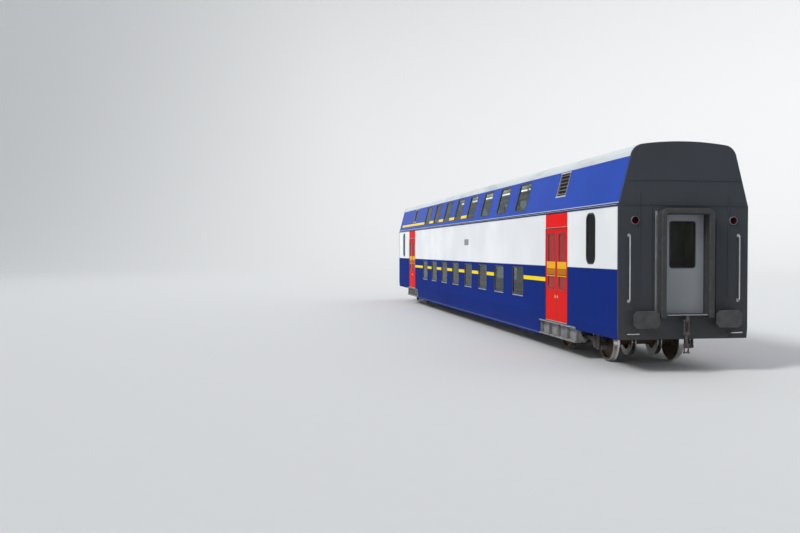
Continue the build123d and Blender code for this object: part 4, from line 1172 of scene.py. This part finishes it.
class COACH_OT_gangways(bpy.types.Operator):
    """Rubber gangway walls, with a pleated root and a fat tube that meets the next coach's, and their clamps"""

    bl_idname = "coach.gangways"
    bl_label = "Gangways"

    def execute(self, context):
        size = context.scene.coach_sizes
        half = TUBE_WALL / 2
        foot, head = size.vestibule - 0.06, size.vestibule + size.gangway_height
        path, out = inverted_u(size.gangway_width + TUBE_WALL, foot, head + half, TUBE_CORNER)
        outer = [
            (half - 0.004, 0.0), (half - 0.004, 0.022), (half - 0.022, 0.030), (half - 0.006, 0.045),
            (half - 0.022, 0.058), (half, 0.080), (half, 0.160), (half - 0.006, 0.182), (half - 0.022, 0.196),
            (0.0, size.gangway_reach),
        ]
        section = np.array(outer + [(-a, b) for a, b in outer[-2::-1]])
        # the inner wall stays flat beside the doorway
        section[len(outer):, 0] = np.maximum(section[len(outer):, 0], -half)
        for name, end in ENDS.items():
            flat = path[:, None] + out[:, None] * section[None, :, :1]
            x = end * (size.half_body + np.broadcast_to(section[None, :, 1:], (*flat.shape[:2], 1)))
            rubber = [quads(np.concatenate([x, flat], -1), wrap_v=True, caps=True)]
            make(f"gangway_wall_{name}", rubber, "gangway_rubber",
                 replaces=[f"gangway_ring_{name}"])
            bolts = []
            face = end * size.half_body
            for side in SIDES:
                y = side * (size.gangway_width / 2 + TUBE_WALL + 0.022)
                spots = [(face, y, z) for z in np.linspace(foot + 0.1, head, CLAMP_BOLTS)]
                bolts.append(lathe(stud(0.011, 0.007, 0.008, 0.009), spots, ALONG[end], 6))
                strap = (face, y, (foot + head + 0.1) / 2)
                bolts.append(block(strap, (0.05, size.gangway_height + 0.1, 0.004), ALONG[end], 0.01, 0.001))
            make(f"gangway_clamps_{name}", bolts, "bright_trim")
        return {"FINISHED"}


# turned forms on the end walls, as (radius, distance from the wall)
HOUSING_PROFILE = [
    (0.095, 0.018), (0.134, 0.018), (0.1245, 0.030), (0.1235, 0.084),
    (0.130, 0.090), (0.130, 0.106), (0.118, 0.112), (0.0955, 0.112),
]
LAMP_PROFILE = [(0.070, 0.0), (0.0865, 0.0), (0.0865, 0.030), (0.080, 0.037), (0.074, 0.037), (0.070, 0.031)]
LENS_PROFILE = [(0, 0.0285), (0.0695, 0.0285), (0.0690, 0.032), (0.045, 0.042), (0.0, 0.047)]
HANDRAIL_Y, RAIL_FOOT, RAIL_HEAD = 1.17, 1.45, 2.75
GRIP_Y, GRIP_Z = (0.98, 1.22), 0.80
TAIL_LAMP = (1.05, 3.05)
# pins of the screw coupling, below the draw hook's middle
PIN_DROPS = (0.030, 0.290, 0.520, 0.670)
# ribs: places across and middles of the upright ones, heights of the level ones
UPRIGHT_RIBS = ((0.70, 2.35), (0.95, 2.55))
LEVEL_RIBS = (3.36, 3.86)


class COACH_OT_coach_ends(bpy.types.Operator):
    """Buffer housings, screw coupling, handrails, tail lamps and ribs on the end walls"""

    bl_idname = "coach.coach_ends"
    bl_label = "Coach ends"

    def execute(self, context):
        size = context.scene.coach_sizes
        for name, end in ENDS.items():
            axes = ALONG[end]
            face = end * size.half_body
            housings, rails, lamps, lens, ribs, links = [], [], [], [], [], []
            spots = np.array([(face, s * size.buffer_y, size.buffer_z) for s in SIDES])
            housings.append(lathe(HOUSING_PROFILE, spots, axes, 36, closed=True))
            bolts = bolt_circle(spots, 0.155, np.radians(np.arange(45, 405, 90)), axes, 0.017)
            housings.append(lathe(stud(0.014, 0.012, 0.010, 0.014), bolts, axes, 6))
            make(f"buffer_housings_{name}", housings, "buffer_steel")

            for side in SIDES:
                y = side * HANDRAIL_Y
                path = stirrup((face, y, RAIL_FOOT), (face, y, RAIL_HEAD), (end * 0.055, 0, 0), 0.03)
                rails.append(pipe(path, 0.014, up=(0, 1, 0)))
                for z in (RAIL_FOOT, RAIL_HEAD):
                    rails.append(lathe(stud(0.032, 0.004, 0.018, 0.007), (face, y, z), axes, 20))
                stops = [(face, side * y_grip, GRIP_Z) for y_grip in GRIP_Y]
                rails.append(pipe(stirrup(*stops, (end * 0.10, 0, 0), 0.02), 0.011, up=(0, 0, 1)))
                lamp = (face, side * TAIL_LAMP[0], TAIL_LAMP[1])
                lamps.append(lathe(LAMP_PROFILE, lamp, axes, 36, closed=True))
                lens.append(lathe(LENS_PROFILE, lamp, axes, 36))
                for across, middle in UPRIGHT_RIBS:
                    ribs.append(block((face, side * across, middle), (0.030, 2.10, 0.012), axes, 0.010, 0.004))
            for z in LEVEL_RIBS:
                wide = 2 * (size.half_width - lean_of(size) * max(z - size.shoulder, 0)) - 0.12
                ribs.append(block((face, 0, z), (wide, 0.030, 0.012), axes, 0.010, 0.004))
            make(f"end_rails_{name}", rails, "pole_steel")
            make(f"tail_lamp_bodies_{name}", lamps, "seat_shell")
            make(f"tail_lamp_lenses_{name}", lens, "tail_lens")
            make(f"end_wall_ribs_{name}", ribs, "end_paint")

            # screw coupling: thread on the screw, pin heads, and the bar that turns it
            hook = face + end * 0.118
            z = size.buffer_z
            ridges = [(0.0205 + 0.0045 * (i % 2), 0.19 * i / 36) for i in range(37)]
            links.append(lathe([(0, 0), *ridges, (0, 0.19)], (hook, 0, z - 0.490), sides=20))
            for drop in PIN_DROPS:
                for side in SIDES:
                    pin = (hook, side * 0.055, z - drop)
                    links.append(lathe(stud(0.021, 0.007, 0.015, 0.012), pin, ACROSS[side], 16))
            lever = [(hook, 0, z - 0.405), (hook + end * 0.05, 0, z - 0.43), (hook + end * 0.060, 0, z - 0.62)]
            links.append(pipe(bent(lever, 0.03), 0.009, up=(0, 1, 0)))
            knob = [(0, 0), (0.016, 0.002), (0.021, 0.014), (0.021, 0.034), (0.014, 0.044), (0, 0.046)]
            links.append(lathe(knob, (hook + end * 0.060, 0, z - 0.660), sides=16))
            make(f"screw_coupling_{name}", links, "forged_steel")
        return {"FINISHED"}


# the inner handle's place across, and its ends below the window's middle
HANDLE_Y, HANDLE_DROPS = -0.42, (0.62, 0.22)


class COACH_OT_end_doors(bpy.types.Operator):
    """Glass, rubber and handle of the sliding end doors"""

    bl_idname = "coach.end_doors"
    bl_label = "End doors"

    def execute(self, context):
        size = context.scene.coach_sizes
        for name, end in ENDS.items():
            low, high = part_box(f"end_door_{name}")
            wide, tall = size.end_door_window_width, size.end_door_window_height
            middle = (low.x + high.x) / 2
            z = size.vestibule + size.end_door_window_middle
            axes = ALONG[end]
            section = [(0.016, 0), (0.014, 0.004), (-0.006, 0.004), (-0.012, -0.010), (-0.012, -0.026),
                       (-0.006, -0.040), (0.014, -0.040), (0.016, -0.036), (0.0, -0.030), (0.0, -0.006)]
            inner, outer = (low.x, high.x) if end > 0 else (high.x, low.x)
            rubber = [framed(ring(wide, tall, 0.05, section), (outer, 0, z), axes)]
            make(f"end_door_rubber_{name}", rubber, "window_rubber", f"end_door_{name}")
            glass = [block((middle - end * 0.003, 0, z), (wide - 0.002, tall - 0.002, 0.006), axes, 0.05, 0.001)]
            make(f"end_door_glass_{name}", glass, "end_door_glass_clear", f"end_door_{name}")
            stops = [(inner, HANDLE_Y, z - drop) for drop in HANDLE_DROPS]
            path = stirrup(*stops, (-end * 0.035, 0, 0), 0.003)
            handle = [pipe(path, 0.009, up=(0, 1, 0)),
                      block((outer, HANDLE_Y, z - 0.42), (0.04, 0.16, 0.003), axes, 0.015, 0.001)]
            make(f"end_door_handle_{name}", handle, "bright_trim", f"end_door_{name}")
        return {"FINISHED"}


# Pieces inside


def seat_places(size):
    """Middles of the back-to-back seats, at the pillars between the windows."""
    return (np.arange(size.windows - 1) - (size.windows - 2) / 2) * size.window_pitch


def cushion(half, crown, channels, rows=20, columns=26):
    """A pad with half sizes (a, b, c): a rounded box whose faces swell by the crown and whose sides draw in
    between the corners; the upper face is pressed in along each channel."""
    u = np.linspace(-np.pi / 2, np.pi / 2, rows)[:, None]
    v = np.linspace(0, 2 * np.pi, columns, endpoint=False)[None]

    def power(value, exponent):
        return np.sign(value) * np.abs(value) ** exponent

    x = power(np.sin(u), 0.38) + 0 * v
    y = power(np.cos(u), 0.38) * power(np.cos(v), 0.42)
    z = power(np.cos(u), 0.38) * power(np.sin(v), 0.5)
    swell = (1 - x**2) * (1 - y**2)
    top = half[2] * z * (1 + crown / half[2] * swell)
    for channel in channels:
        top = top - np.where(z > 0.3, 0.010 * np.exp(-(((x - channel) / 0.06) ** 2)), 0)
    draw = 1 - 0.02 * (1 - z**2)
    deep = half[0] * x * draw * (1 - 0.015 * (1 - y**2))
    wide = half[1] * y * draw * (1 - 0.015 * (1 - x**2))
    return np.stack([deep, wide, top], -1)


def sewn(grid, half, channels):
    """Points of a pad that are held: its underside and the sewn channels."""
    x, z = grid[..., 0] / half[0], grid[..., 2] / half[2]
    held = z < -0.45
    for channel in channels:
        held |= (np.abs(x - channel) < 0.045) & (z > 0.2)
    return np.flatnonzero(held)


PRESSURE, CLOTH_MASS, LAST_FRAME = 4.0, 0.3, 20


def blown(grid, pinned, cap):
    """The grid after the cloth solver has blown it up like a bag: doubles are welded, the marked points
    stay put and no point moves further than the cap."""
    scene = bpy.context.scene
    points, faces = quads(grid, wrap_v=True)
    _, first, back = np.unique(np.round(points, 5), axis=0, return_index=True, return_inverse=True)
    back = back.ravel()
    start = points[first]
    welded = [list(dict.fromkeys(back[face].tolist())) for face in faces]
    mesh = bpy.data.meshes.new("bag")
    mesh.from_pydata(start, [], [face for face in welded if len(face) > 2])
    turn_outwards(mesh, weld=False)
    bag = bpy.data.objects.new("bag", mesh)
    scene.collection.objects.link(bag)
    bag.vertex_groups.new(name="pinned").add(np.unique(back[np.ravel(pinned)]).tolist(), 1.0, "REPLACE")
    cloth = bag.modifiers.new("cloth", "CLOTH")
    cloth.settings.quality = 6
    cloth.settings.mass = CLOTH_MASS
    cloth.settings.use_pressure = True
    cloth.settings.uniform_pressure_force = PRESSURE
    cloth.settings.vertex_group_mass = "pinned"
    cloth.settings.effector_weights.gravity = 0.0
    cloth.point_cache.frame_start, cloth.point_cache.frame_end = 1, LAST_FRAME
    for moment in range(1, LAST_FRAME + 1):
        scene.frame_set(moment)
    swollen = bag.evaluated_get(bpy.context.evaluated_depsgraph_get())
    moved = np.empty(len(start) * 3, np.float32)
    swollen.data.vertices.foreach_get("co", moved)
    bpy.data.objects.remove(bag)
    bpy.data.meshes.remove(mesh)
    scene.frame_set(1)
    shift = moved.reshape(-1, 3) - start
    shift *= np.minimum(1, cap / np.maximum(np.linalg.norm(shift, axis=1), 1e-9))[:, None]
    return (start + shift)[back].reshape(np.shape(grid))


def padding(half, crown, channels, cap):
    """A cushion with its underside and channels held and the rest blown up by no more than the cap."""
    grid = cushion(half, crown, channels)
    return blown(grid, sewn(grid, half, channels), cap)


# pads and backs: half sizes, and how far they sit from the pillar's line and above the floor
SEAT_DEPTH, SEAT_HEIGHT, SEAT_OUT, SEAT_UP = 0.226, 0.046, 0.292, 0.372
BACK_HEIGHT, BACK_DEPTH, BACK_OUT, BACK_UP = 0.238, 0.018, 0.031, 0.655
BACK_LEAN, SEAT_MARGIN = 0.04, 0.014
BENCH_UP, PANEL_UP, ARM_UP = 0.30, 0.36, 0.545


class COACH_OT_seats(bpy.types.Operator):
    """Padded seats and backs on both decks, with their shells, end panels and armrests"""

    bl_idname = "coach.seats"
    bl_label = "Seats"

    def execute(self, context):
        size = context.scene.coach_sizes
        xs = seat_places(size)
        for deck, floor in (("lower", size.lower_floor), ("upper", size.upper_floor)):
            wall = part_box(f"{deck}_deck_seats")[1].y
            half_wide = (wall - size.aisle) / 4
            ys = np.array([size.aisle + half_wide, size.aisle + 3 * half_wide])
            ys = np.concatenate([ys, -ys])
            pads, backs, frames = [], [], []
            pad_wide = half_wide - SEAT_MARGIN
            seat = padding((SEAT_DEPTH, pad_wide, SEAT_HEIGHT), 0.004, (-0.45, 0.45), 0.009)
            rest = padding((BACK_HEIGHT, pad_wide, BACK_DEPTH), 0.002, (-0.25, 0.25), 0.006)
            for facing in (-1, 1):
                spots = [(x + facing * SEAT_OUT, y, floor + SEAT_UP) for x in xs for y in ys]
                pads.append(quads(place(seat, spots), wrap_v=True))
                # the back stands on its edge, its padded face towards the knees
                axes = np.array([(-BACK_LEAN * facing, 0, 1), (0, 1, 0), (facing, 0, BACK_LEAN)])
                spots = [(x + facing * BACK_OUT, y, floor + BACK_UP) for x in xs for y in ys]
                backs.append(quads(place(rest, spots, axes), wrap_v=True))
            bench, panel = wall - size.aisle, size.aisle + 0.022
            places = [(x, s) for x in xs for s in SIDES]
            centres = np.array([(x, s * (size.aisle + wall) / 2, floor + BENCH_UP) for x, s in places])
            frames.append(block(centres, (1.02, bench - 0.03, 0.022), radius=0.03, bevel=0.005))
            frames.append(block(centres + (0, 0, 0.02), (0.018, bench - 0.02, 0.58), radius=0.006))
            panels = [(x, s * panel, floor + PANEL_UP) for x, s in places]
            frames.append(block(panels, (0.100, 0.030, 0.535), radius=0.012, bevel=0.005))
            arms = [(x + f * 0.21, s * panel, floor + ARM_UP) for x, s in places for f in (-1, 1)]
            frames.append(block(arms, (0.34, 0.030, 0.030), radius=0.014, bevel=0.006))
            cushions = make(f"{deck}_seat_pads", pads, "seat_cloth",
                            replaces=[f"{deck}_deck_seats"], crease=60)
            rests = make(f"{deck}_seat_backs", backs, "seat_cloth", crease=60)
            make(f"{deck}_seat_shells", frames, "seat_shell")
        return {"FINISHED"}


UPPER_CEILING, VESTIBULE_CEILING = 4.46, 3.3375
DECK_LAMP_Y = 0.42
VESTIBULE_LAMPS = (8.6, 9.6, 10.4, 11.9)


class COACH_OT_lights(bpy.types.Operator):
    """Light strips under the ceilings of both decks and the vestibules"""

    bl_idname = "coach.lights"
    bl_label = "Ceiling lights"

    def execute(self, context):
        size = context.scene.coach_sizes
        down = np.array([(1, 0, 0), (0, -1, 0), (0, 0, -1)], float)
        deck_lamps = ((UPPER_CEILING, 0.03), (size.upper_floor - 0.0905, 0.025))
        lamps = []
        for x in window_centres(size):
            for side in SIDES:
                for z, thick in deck_lamps:
                    lamps.append(block((x, side * DECK_LAMP_Y, z), (1.5, 0.10, thick), down, 0.04, 0.01))
        for end in ENDS.values():
            for x in VESTIBULE_LAMPS:
                lamps.append(block((end * x, 0, VESTIBULE_CEILING), (0.6, 0.12, 0.025), down, 0.04, 0.01))
        make("ceiling_lights", lamps, "lamp_cover")
        return {"FINISHED"}


# Pieces on the bogies


def helix(radius, height, turns, per_turn=18):
    """Centre line of a coil: a circle that climbs, with flat ends of half a turn."""
    t = np.linspace(0, 1, turns * per_turn + 1)
    climb = np.clip((t - 0.5 / turns) / (1 - 1 / turns), 0, 1)
    turn = 2 * np.pi * turns * t
    return np.stack([radius * np.cos(turn), radius * np.sin(turn), height * climb], -1)


SPRING_CUP = 0.016


class COACH_OT_springs(bpy.types.Operator):
    """Coil springs over the axle boxes and air bellows under the body"""

    bl_idname = "coach.springs"
    bl_label = "Springs"

    def execute(self, context):
        size = context.scene.coach_sizes
        wire = size.spring_wire
        for name, end in ENDS.items():
            body = f"bogie_{name}"
            reach = size.half_wheelbase + size.spring_offset
            xs = [end * size.pivot_x + a * reach for a in (-1, 1)]
            spots = [(x, s * size.beam_y, size.spring_seat) for x in xs for s in SIDES]
            tall = size.spring_top - size.spring_seat
            parts = []
            for radius, thick, turns in (
                (size.spring_radius - 0.004 - wire, wire, size.spring_turns),
                (0.044, 0.009, size.spring_turns + 2),
            ):
                line = helix(radius, tall - 2 * SPRING_CUP - 2 * thick, turns) + (0, 0, SPRING_CUP + thick)
                parts.append(quads(place(tube(line, thick, 8), spots), wrap_v=True, caps=True))
            cup = stud(size.spring_radius, SPRING_CUP - 0.004, size.spring_radius - 0.004, SPRING_CUP)
            parts.append(lathe(cup, spots))
            parts.append(lathe([(r, tall - h) for r, h in cup], spots))
            make(f"coil_springs_{name}", parts, "spring_steel", body,
                 [f"primary_springs_{name}"])

            spots = [(end * size.pivot_x, s * size.beam_y, size.bellows_seat) for s in SIDES]
            tall, wide = size.bellows_top - size.bellows_seat, size.bellows_radius
            lobe = np.linspace(-np.pi / 2, np.pi / 2, 12)
            bulge = [(wide - 0.075 + 0.073 * math.cos(a), 0.185 + 0.075 * math.sin(a)) for a in lobe]
            profile = [(0, 0.0), (0.17, 0.0), (0.17, 0.035), (0.135, 0.060), (0.135, 0.095), *bulge,
                       (wide - 0.03, tall - 0.055), (wide - 0.03, tall - 0.035), (0, tall - 0.035)]
            make(f"air_bellows_{name}", [lathe(profile, spots, sides=48)], "spring_rubber", body,
                 [f"air_springs_{name}"])
            top = stud(wide - 0.002, tall - 0.004, wide - 0.006, tall, base=tall - 0.036)
            make(f"bellows_plates_{name}", [lathe(top, spots, sides=48)], "bogie_paint", body)
        return {"FINISHED"}


# turned forms of a wheelset, as (radius, distance from the middle of the axle, or of the brake disc)
WHEEL_PROFILE = [
    (0.0845, 0.660), (0.118, 0.660), (0.128, 0.668), (0.150, 0.694), (0.240, 0.706), (0.310, 0.702),
    (0.345, 0.690), (0.358, 0.681), (0.436, 0.680), (0.4435, 0.6825), (0.447, 0.687), (0.448, 0.693),
    (0.4455, 0.699), (0.438, 0.706), (0.4275, 0.712), (0.4225, 0.719), (0.4205, 0.730), (0.4195, 0.770),
    (0.4165, 0.808), (0.411, 0.8145), (0.366, 0.815), (0.358, 0.806), (0.350, 0.752), (0.310, 0.732),
    (0.240, 0.734), (0.165, 0.746), (0.138, 0.772), (0.130, 0.824), (0.124, 0.830), (0.0845, 0.830),
]
SHAFT_PROFILE = [
    (0, 0), (0.075, 0), (0.075, 0.10), (0.085, 0.20), (0.085, 0.86),
    (0.078, 0.875), (0.0648, 0.895), (0.0648, 1.036), (0.060, 1.0395), (0, 1.0395),
]
BELL_PROFILE = [
    (0.0855, -0.08), (0.115, -0.08), (0.125, -0.05), (0.185, -0.045),
    (0.185, -0.030), (0.125, -0.026), (0.115, 0.02), (0.0855, 0.02),
]
WHEEL_BOLT_CIRCLE, WHEEL_FACE = 0.108, 0.829
# brake disc: place on the axle, bore, thickness of a friction ring and where each one starts
DISC_Y, DISC_BORE, DISC_THICK, DISC_FACES = 0.30, 0.175, 0.024, (-0.055, 0.031)


class COACH_OT_wheelsets(bpy.types.Operator):
    """Turned wheels with flanges and dished webs, ventilated brake discs and axles"""

    bl_idname = "coach.wheelsets"
    bl_label = "Wheelsets"

    def execute(self, context):
        size = context.scene.coach_sizes
        for number in range(1, 5):
            low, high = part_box(f"wheelset_{number}")
            middle = ((low.x + high.x) / 2, 0, size.axle_z)
            body = f"wheelset_{number}"
            steel, discs = [], []
            for side in SIDES:
                steel.append(lathe(WHEEL_PROFILE, middle, ACROSS[side], 80, closed=True))
                steel.append(lathe(SHAFT_PROFILE, middle, ACROSS[side], 40))
                turns = np.radians(np.arange(0, 360, 60))
                bolts = bolt_circle(middle, WHEEL_BOLT_CIRCLE, turns, ACROSS[side], WHEEL_FACE)
                steel.append(lathe(stud(0.010, 0.006, 0.007, 0.008), bolts, ACROSS[side], 6))
                # brake disc: two friction rings, the vanes between them and a bell on the axle
                at = np.array(middle) + (0, side * DISC_Y, 0)
                reach = size.disc_radius
                for near in DISC_FACES:
                    far = near + DISC_THICK
                    flat = [(DISC_BORE, near), (reach, near), (reach, far), (DISC_BORE, far)]
                    discs.append(lathe(flat, at, ACROSS[side], 64, closed=True))
                for angle in np.radians(np.arange(0, 360, 15)):
                    out = np.array([math.cos(angle), 0, math.sin(angle)])
                    flat = np.array([np.cross((0, side, 0), out), (0, side, 0), out])
                    discs.append(block(at + out * 0.18, (0.010, 0.066, reach - 0.195), flat, 0.002, 0.001))
                steel.append(lathe(BELL_PROFILE, at, ACROSS[side], 48, closed=True))
            make(f"turned_wheels_{number}", steel, "wheel_steel", body, [f"wheelset_{number}"])
            make(f"brake_discs_{number}", discs, "disc_steel", body)
        return {"FINISHED"}


# turned forms on a bogie, as (radius, distance from its face)
COVER_PROFILE = [
    (0, 0), (0.135, 0), (0.135, 0.022), (0.126, 0.029), (0.096, 0.030), (0.089, 0.042), (0.070, 0.048), (0, 0.050),
]
BUSH_PROFILE = [(0, 0), (0.062, 0), (0.062, 0.012), (0.040, 0.018), (0.018, 0.018), (0.018, 0.028), (0, 0.028)]
CYLINDER_PROFILE = [
    (0, 0), (0.060, 0), (0.078, 0.012), (0.078, 0.09), (0.066, 0.105), (0.066, 0.20), (0.050, 0.22), (0, 0.22),
]
# damper beside the spring: foot, head and radius of its body and of the dust tube, heights of its eyes
DAMPER_TUBES = ((0.352, 0.575, 0.031), (0.560, 0.706, 0.038))
DAMPER_EYES = (0.325, 0.731)
LEVER_BOLTS = (0.20, 0.30)
PIPE_Y = 0.86
# corners of the brake pipe, as (distance from the pivot, height)
BRAKE_PIPE = [(-1.5, 0.80), (-0.90, 0.80), (-0.62, 0.62), (0.62, 0.62), (0.90, 0.80), (1.5, 0.80)]


class COACH_OT_bogie_gear(bpy.types.Operator):
    """Axle-box covers, dampers, brake callipers, cylinders and pipes on the bogies"""

    bl_idname = "coach.bogie_gear"
    bl_label = "Bogie gear"

    def execute(self, context):
        size = context.scene.coach_sizes
        for name, end in ENDS.items():
            body = f"bogie_{name}"
            pivot = end * size.pivot_x
            covers, dampers, rods, brakes, ribs = [], [], [], [], []
            for step in (-1, 1):
                axle = pivot + step * size.half_wheelbase
                for side in SIDES:
                    outer = side * (size.beam_y + 0.08)
                    spot = (axle, outer, size.axle_z)
                    covers.append(lathe(COVER_PROFILE, spot, ACROSS[side], 40))
                    turns = 2 * np.pi * (np.arange(size.cover_bolts) + 0.5) / size.cover_bolts
                    bolts = bolt_circle(spot, 0.112, turns, ACROSS[side], 0.028)
                    covers.append(lathe(stud(0.011, 0.008, 0.008, 0.010), bolts, ACROSS[side], 6))
                    x = axle + step * size.spring_offset
                    y = side * size.damper_y
                    for foot, head, radius in DAMPER_TUBES:
                        dampers.append(pipe([(x, y, foot), (x, y, head)], radius, sides=20, up=(0, 1, 0)))
                    for z in DAMPER_EYES:
                        rods.append(pipe([(x, y + side * 0.0245, z), (x, y + side * 0.038, z)], 0.017, sides=16))
                    # ribs on the axle box and the arm's bush
                    for dx in (-0.09, 0.09):
                        rib = (axle + dx, outer, size.axle_z + 0.10)
                        ribs.append(block(rib, (0.020, 0.10, 0.012), ACROSS[side], 0.004))
                    bush = (axle - step * 0.60, outer, size.axle_z + 0.045)
                    covers.append(lathe(BUSH_PROFILE, bush, ACROSS[side]))
                    # brake calliper: two pads at the disc, and the bolts of their levers
                    disc = side * DISC_Y
                    for face in (-1, 1):
                        pad = (axle - step * 0.245, disc + face * (0.055 + 0.012) - 0.010, size.axle_z - 0.01)
                        brakes.append(block(pad, (0.13, 0.20, 0.020), ACROSS[1], 0.02, 0.004))
                        spots = [(axle - step * dx, disc + face * 0.097, size.axle_z + 0.05) for dx in LEVER_BOLTS]
                        brakes.append(lathe(stud(0.022, 0.010, 0.012, 0.020), spots, ACROSS[face], 6))
                    can = (pivot + step * 0.60, disc - 0.11, size.axle_z + 0.15)
                    brakes.append(lathe(CYLINDER_PROFILE, can, ACROSS[1], 28))
            for side in SIDES:
                path = [(pivot + dx, side * PIPE_Y, z) for dx, z in BRAKE_PIPE]
                rods.append(pipe(bent(path, 0.08), 0.011, sides=8, up=(0, 1, 0)))
            make(f"axle_box_covers_{name}", covers, "axle_box_iron", body)
            make(f"damper_bodies_{name}", dampers, "buffer_steel", body)
            make(f"damper_rods_{name}", rods, "disc_steel", body)
            make(f"brake_gear_{name}", brakes, "bogie_paint", body)
            make(f"bogie_brackets_{name}", ribs, "bogie_paint", body)
        return {"FINISHED"}


# Floor, lights and camera


FLOOR_FLAT, FLOOR_RISE = 70, 60
# suns: name, direction they shine from, softness in degrees, strength
SUNS = (
    ("key_light", (9, -26, 24), 18, 2.3),
    ("end_light", (30, -2, 16), 40, 0.5),
    ("far_light", (-6, 26, 20), 50, 0.45),
)
CAMERA_PLACE = (29.362, -8.452, 2.458)
CAMERA_TURN, CAMERA_DIP = 9.472, 1.082
LENS, SENSOR_WIDTH = 39.02, 36.0


class COACH_OT_stage(bpy.types.Operator):
    """Pale floor that curves up far away, soft lights and the camera"""

    bl_idname = "coach.stage"
    bl_label = "Stage"

    def execute(self, context):
        scene = context.scene
        ground = Finish("studio_floor", roughness=0.85)
        ground.tones(ground.noise(ground.where, 3.0, 3.0), (0.64, 0.64, 0.635), (0.66, 0.66, 0.655))
        bend = np.linspace(0, np.pi / 2, 24)[1:]
        curve = [(FLOOR_FLAT + FLOOR_RISE * math.sin(a), FLOOR_RISE - FLOOR_RISE * math.cos(a)) for a in bend]
        rim = (FLOOR_FLAT + FLOOR_RISE, 1.5 * FLOOR_RISE)
        points, faces = lathe([(0, 0), (30, 0), (FLOOR_FLAT, 0), *curve, rim], (0, 0, 0), sides=96)
        mesh = bpy.data.meshes.new("studio_floor")
        mesh.from_pydata(points, [], faces)
        turn_outwards(mesh)
        mesh.polygons.foreach_set("use_smooth", np.ones(len(mesh.polygons), bool))
        mesh.materials.append(bpy.data.materials["studio_floor"])
        floor = bpy.data.objects.new("studio_floor", mesh)
        scene.collection.objects.link(floor)

        world = bpy.data.worlds.new("soft_sky")
        world.use_nodes = True
        sky = world.node_tree.nodes["Background"]
        sky.inputs["Color"].default_value = (0.88, 0.93, 1.0, 1.0)
        sky.inputs["Strength"].default_value = 0.66
        scene.world = world
        for name, spot, spread, power in SUNS:
            data = bpy.data.lights.new(name, "SUN")
            data.angle, data.energy = math.radians(spread), power
            lamp = bpy.data.objects.new(name, data)
            lamp.rotation_euler = Vector(spot).to_track_quat("Z", "Y").to_euler()
            scene.collection.objects.link(lamp)
        view = bpy.data.cameras.new("camera")
        view.lens, view.sensor_width, view.clip_end = LENS, SENSOR_WIDTH, 400.0
        camera = bpy.data.objects.new("camera", view)
        camera.location = CAMERA_PLACE
        turn, dip = math.radians(CAMERA_TURN), math.radians(CAMERA_DIP)
        ahead = Vector((-math.cos(turn) * math.cos(dip), math.sin(turn) * math.cos(dip), -math.sin(dip)))
        camera.rotation_euler = ahead.to_track_quat("-Z", "Y").to_euler()
        scene.collection.objects.link(camera)
        scene.camera = camera
        scene.view_settings.view_transform = "Standard"
        return {"FINISHED"}


STEPS = (
    COACH_OT_stage,
    COACH_OT_finishes,
    COACH_OT_window_rubbers,
    COACH_OT_waist_lines,
    COACH_OT_side_doors,
    COACH_OT_door_steps,
    COACH_OT_grilles,
    COACH_OT_roof,
    COACH_OT_gangways,
    COACH_OT_coach_ends,
    COACH_OT_end_doors,
    COACH_OT_seats,
    COACH_OT_lights,
    COACH_OT_springs,
    COACH_OT_wheelsets,
    COACH_OT_bogie_gear,
)


class COACH_PT_panel(bpy.types.Panel):
    """Sidebar list of the coach's pieces, sizes and colours"""

    bl_idname = "COACH_PT_panel"
    bl_label = "Double-deck coach"
    bl_space_type = "VIEW_3D"
    bl_region_type = "UI"
    bl_category = "Coach"

    def draw(self, context):
        for step in STEPS:
            self.layout.operator(step.bl_idname)
        for group in (context.scene.coach_sizes, context.scene.coach_colours):
            for key in group.__annotations__:
                self.layout.prop(group, key)


CLASSES = (CoachSizes, CoachColours, *STEPS, COACH_PT_panel)


def register():
    for cls in CLASSES:
        bpy.utils.register_class(cls)
    bpy.types.Scene.coach_sizes = bpy.props.PointerProperty(type=CoachSizes)
    bpy.types.Scene.coach_colours = bpy.props.PointerProperty(type=CoachColours)


def unregister():
    del bpy.types.Scene.coach_colours
    del bpy.types.Scene.coach_sizes
    for cls in reversed(CLASSES):
        bpy.utils.unregister_class(cls)


def main():
    register()
    for step in STEPS:
        group, action = step.bl_idname.split(".")
        getattr(getattr(bpy.ops, group), action)()


if __name__ == "__main__":
    main()
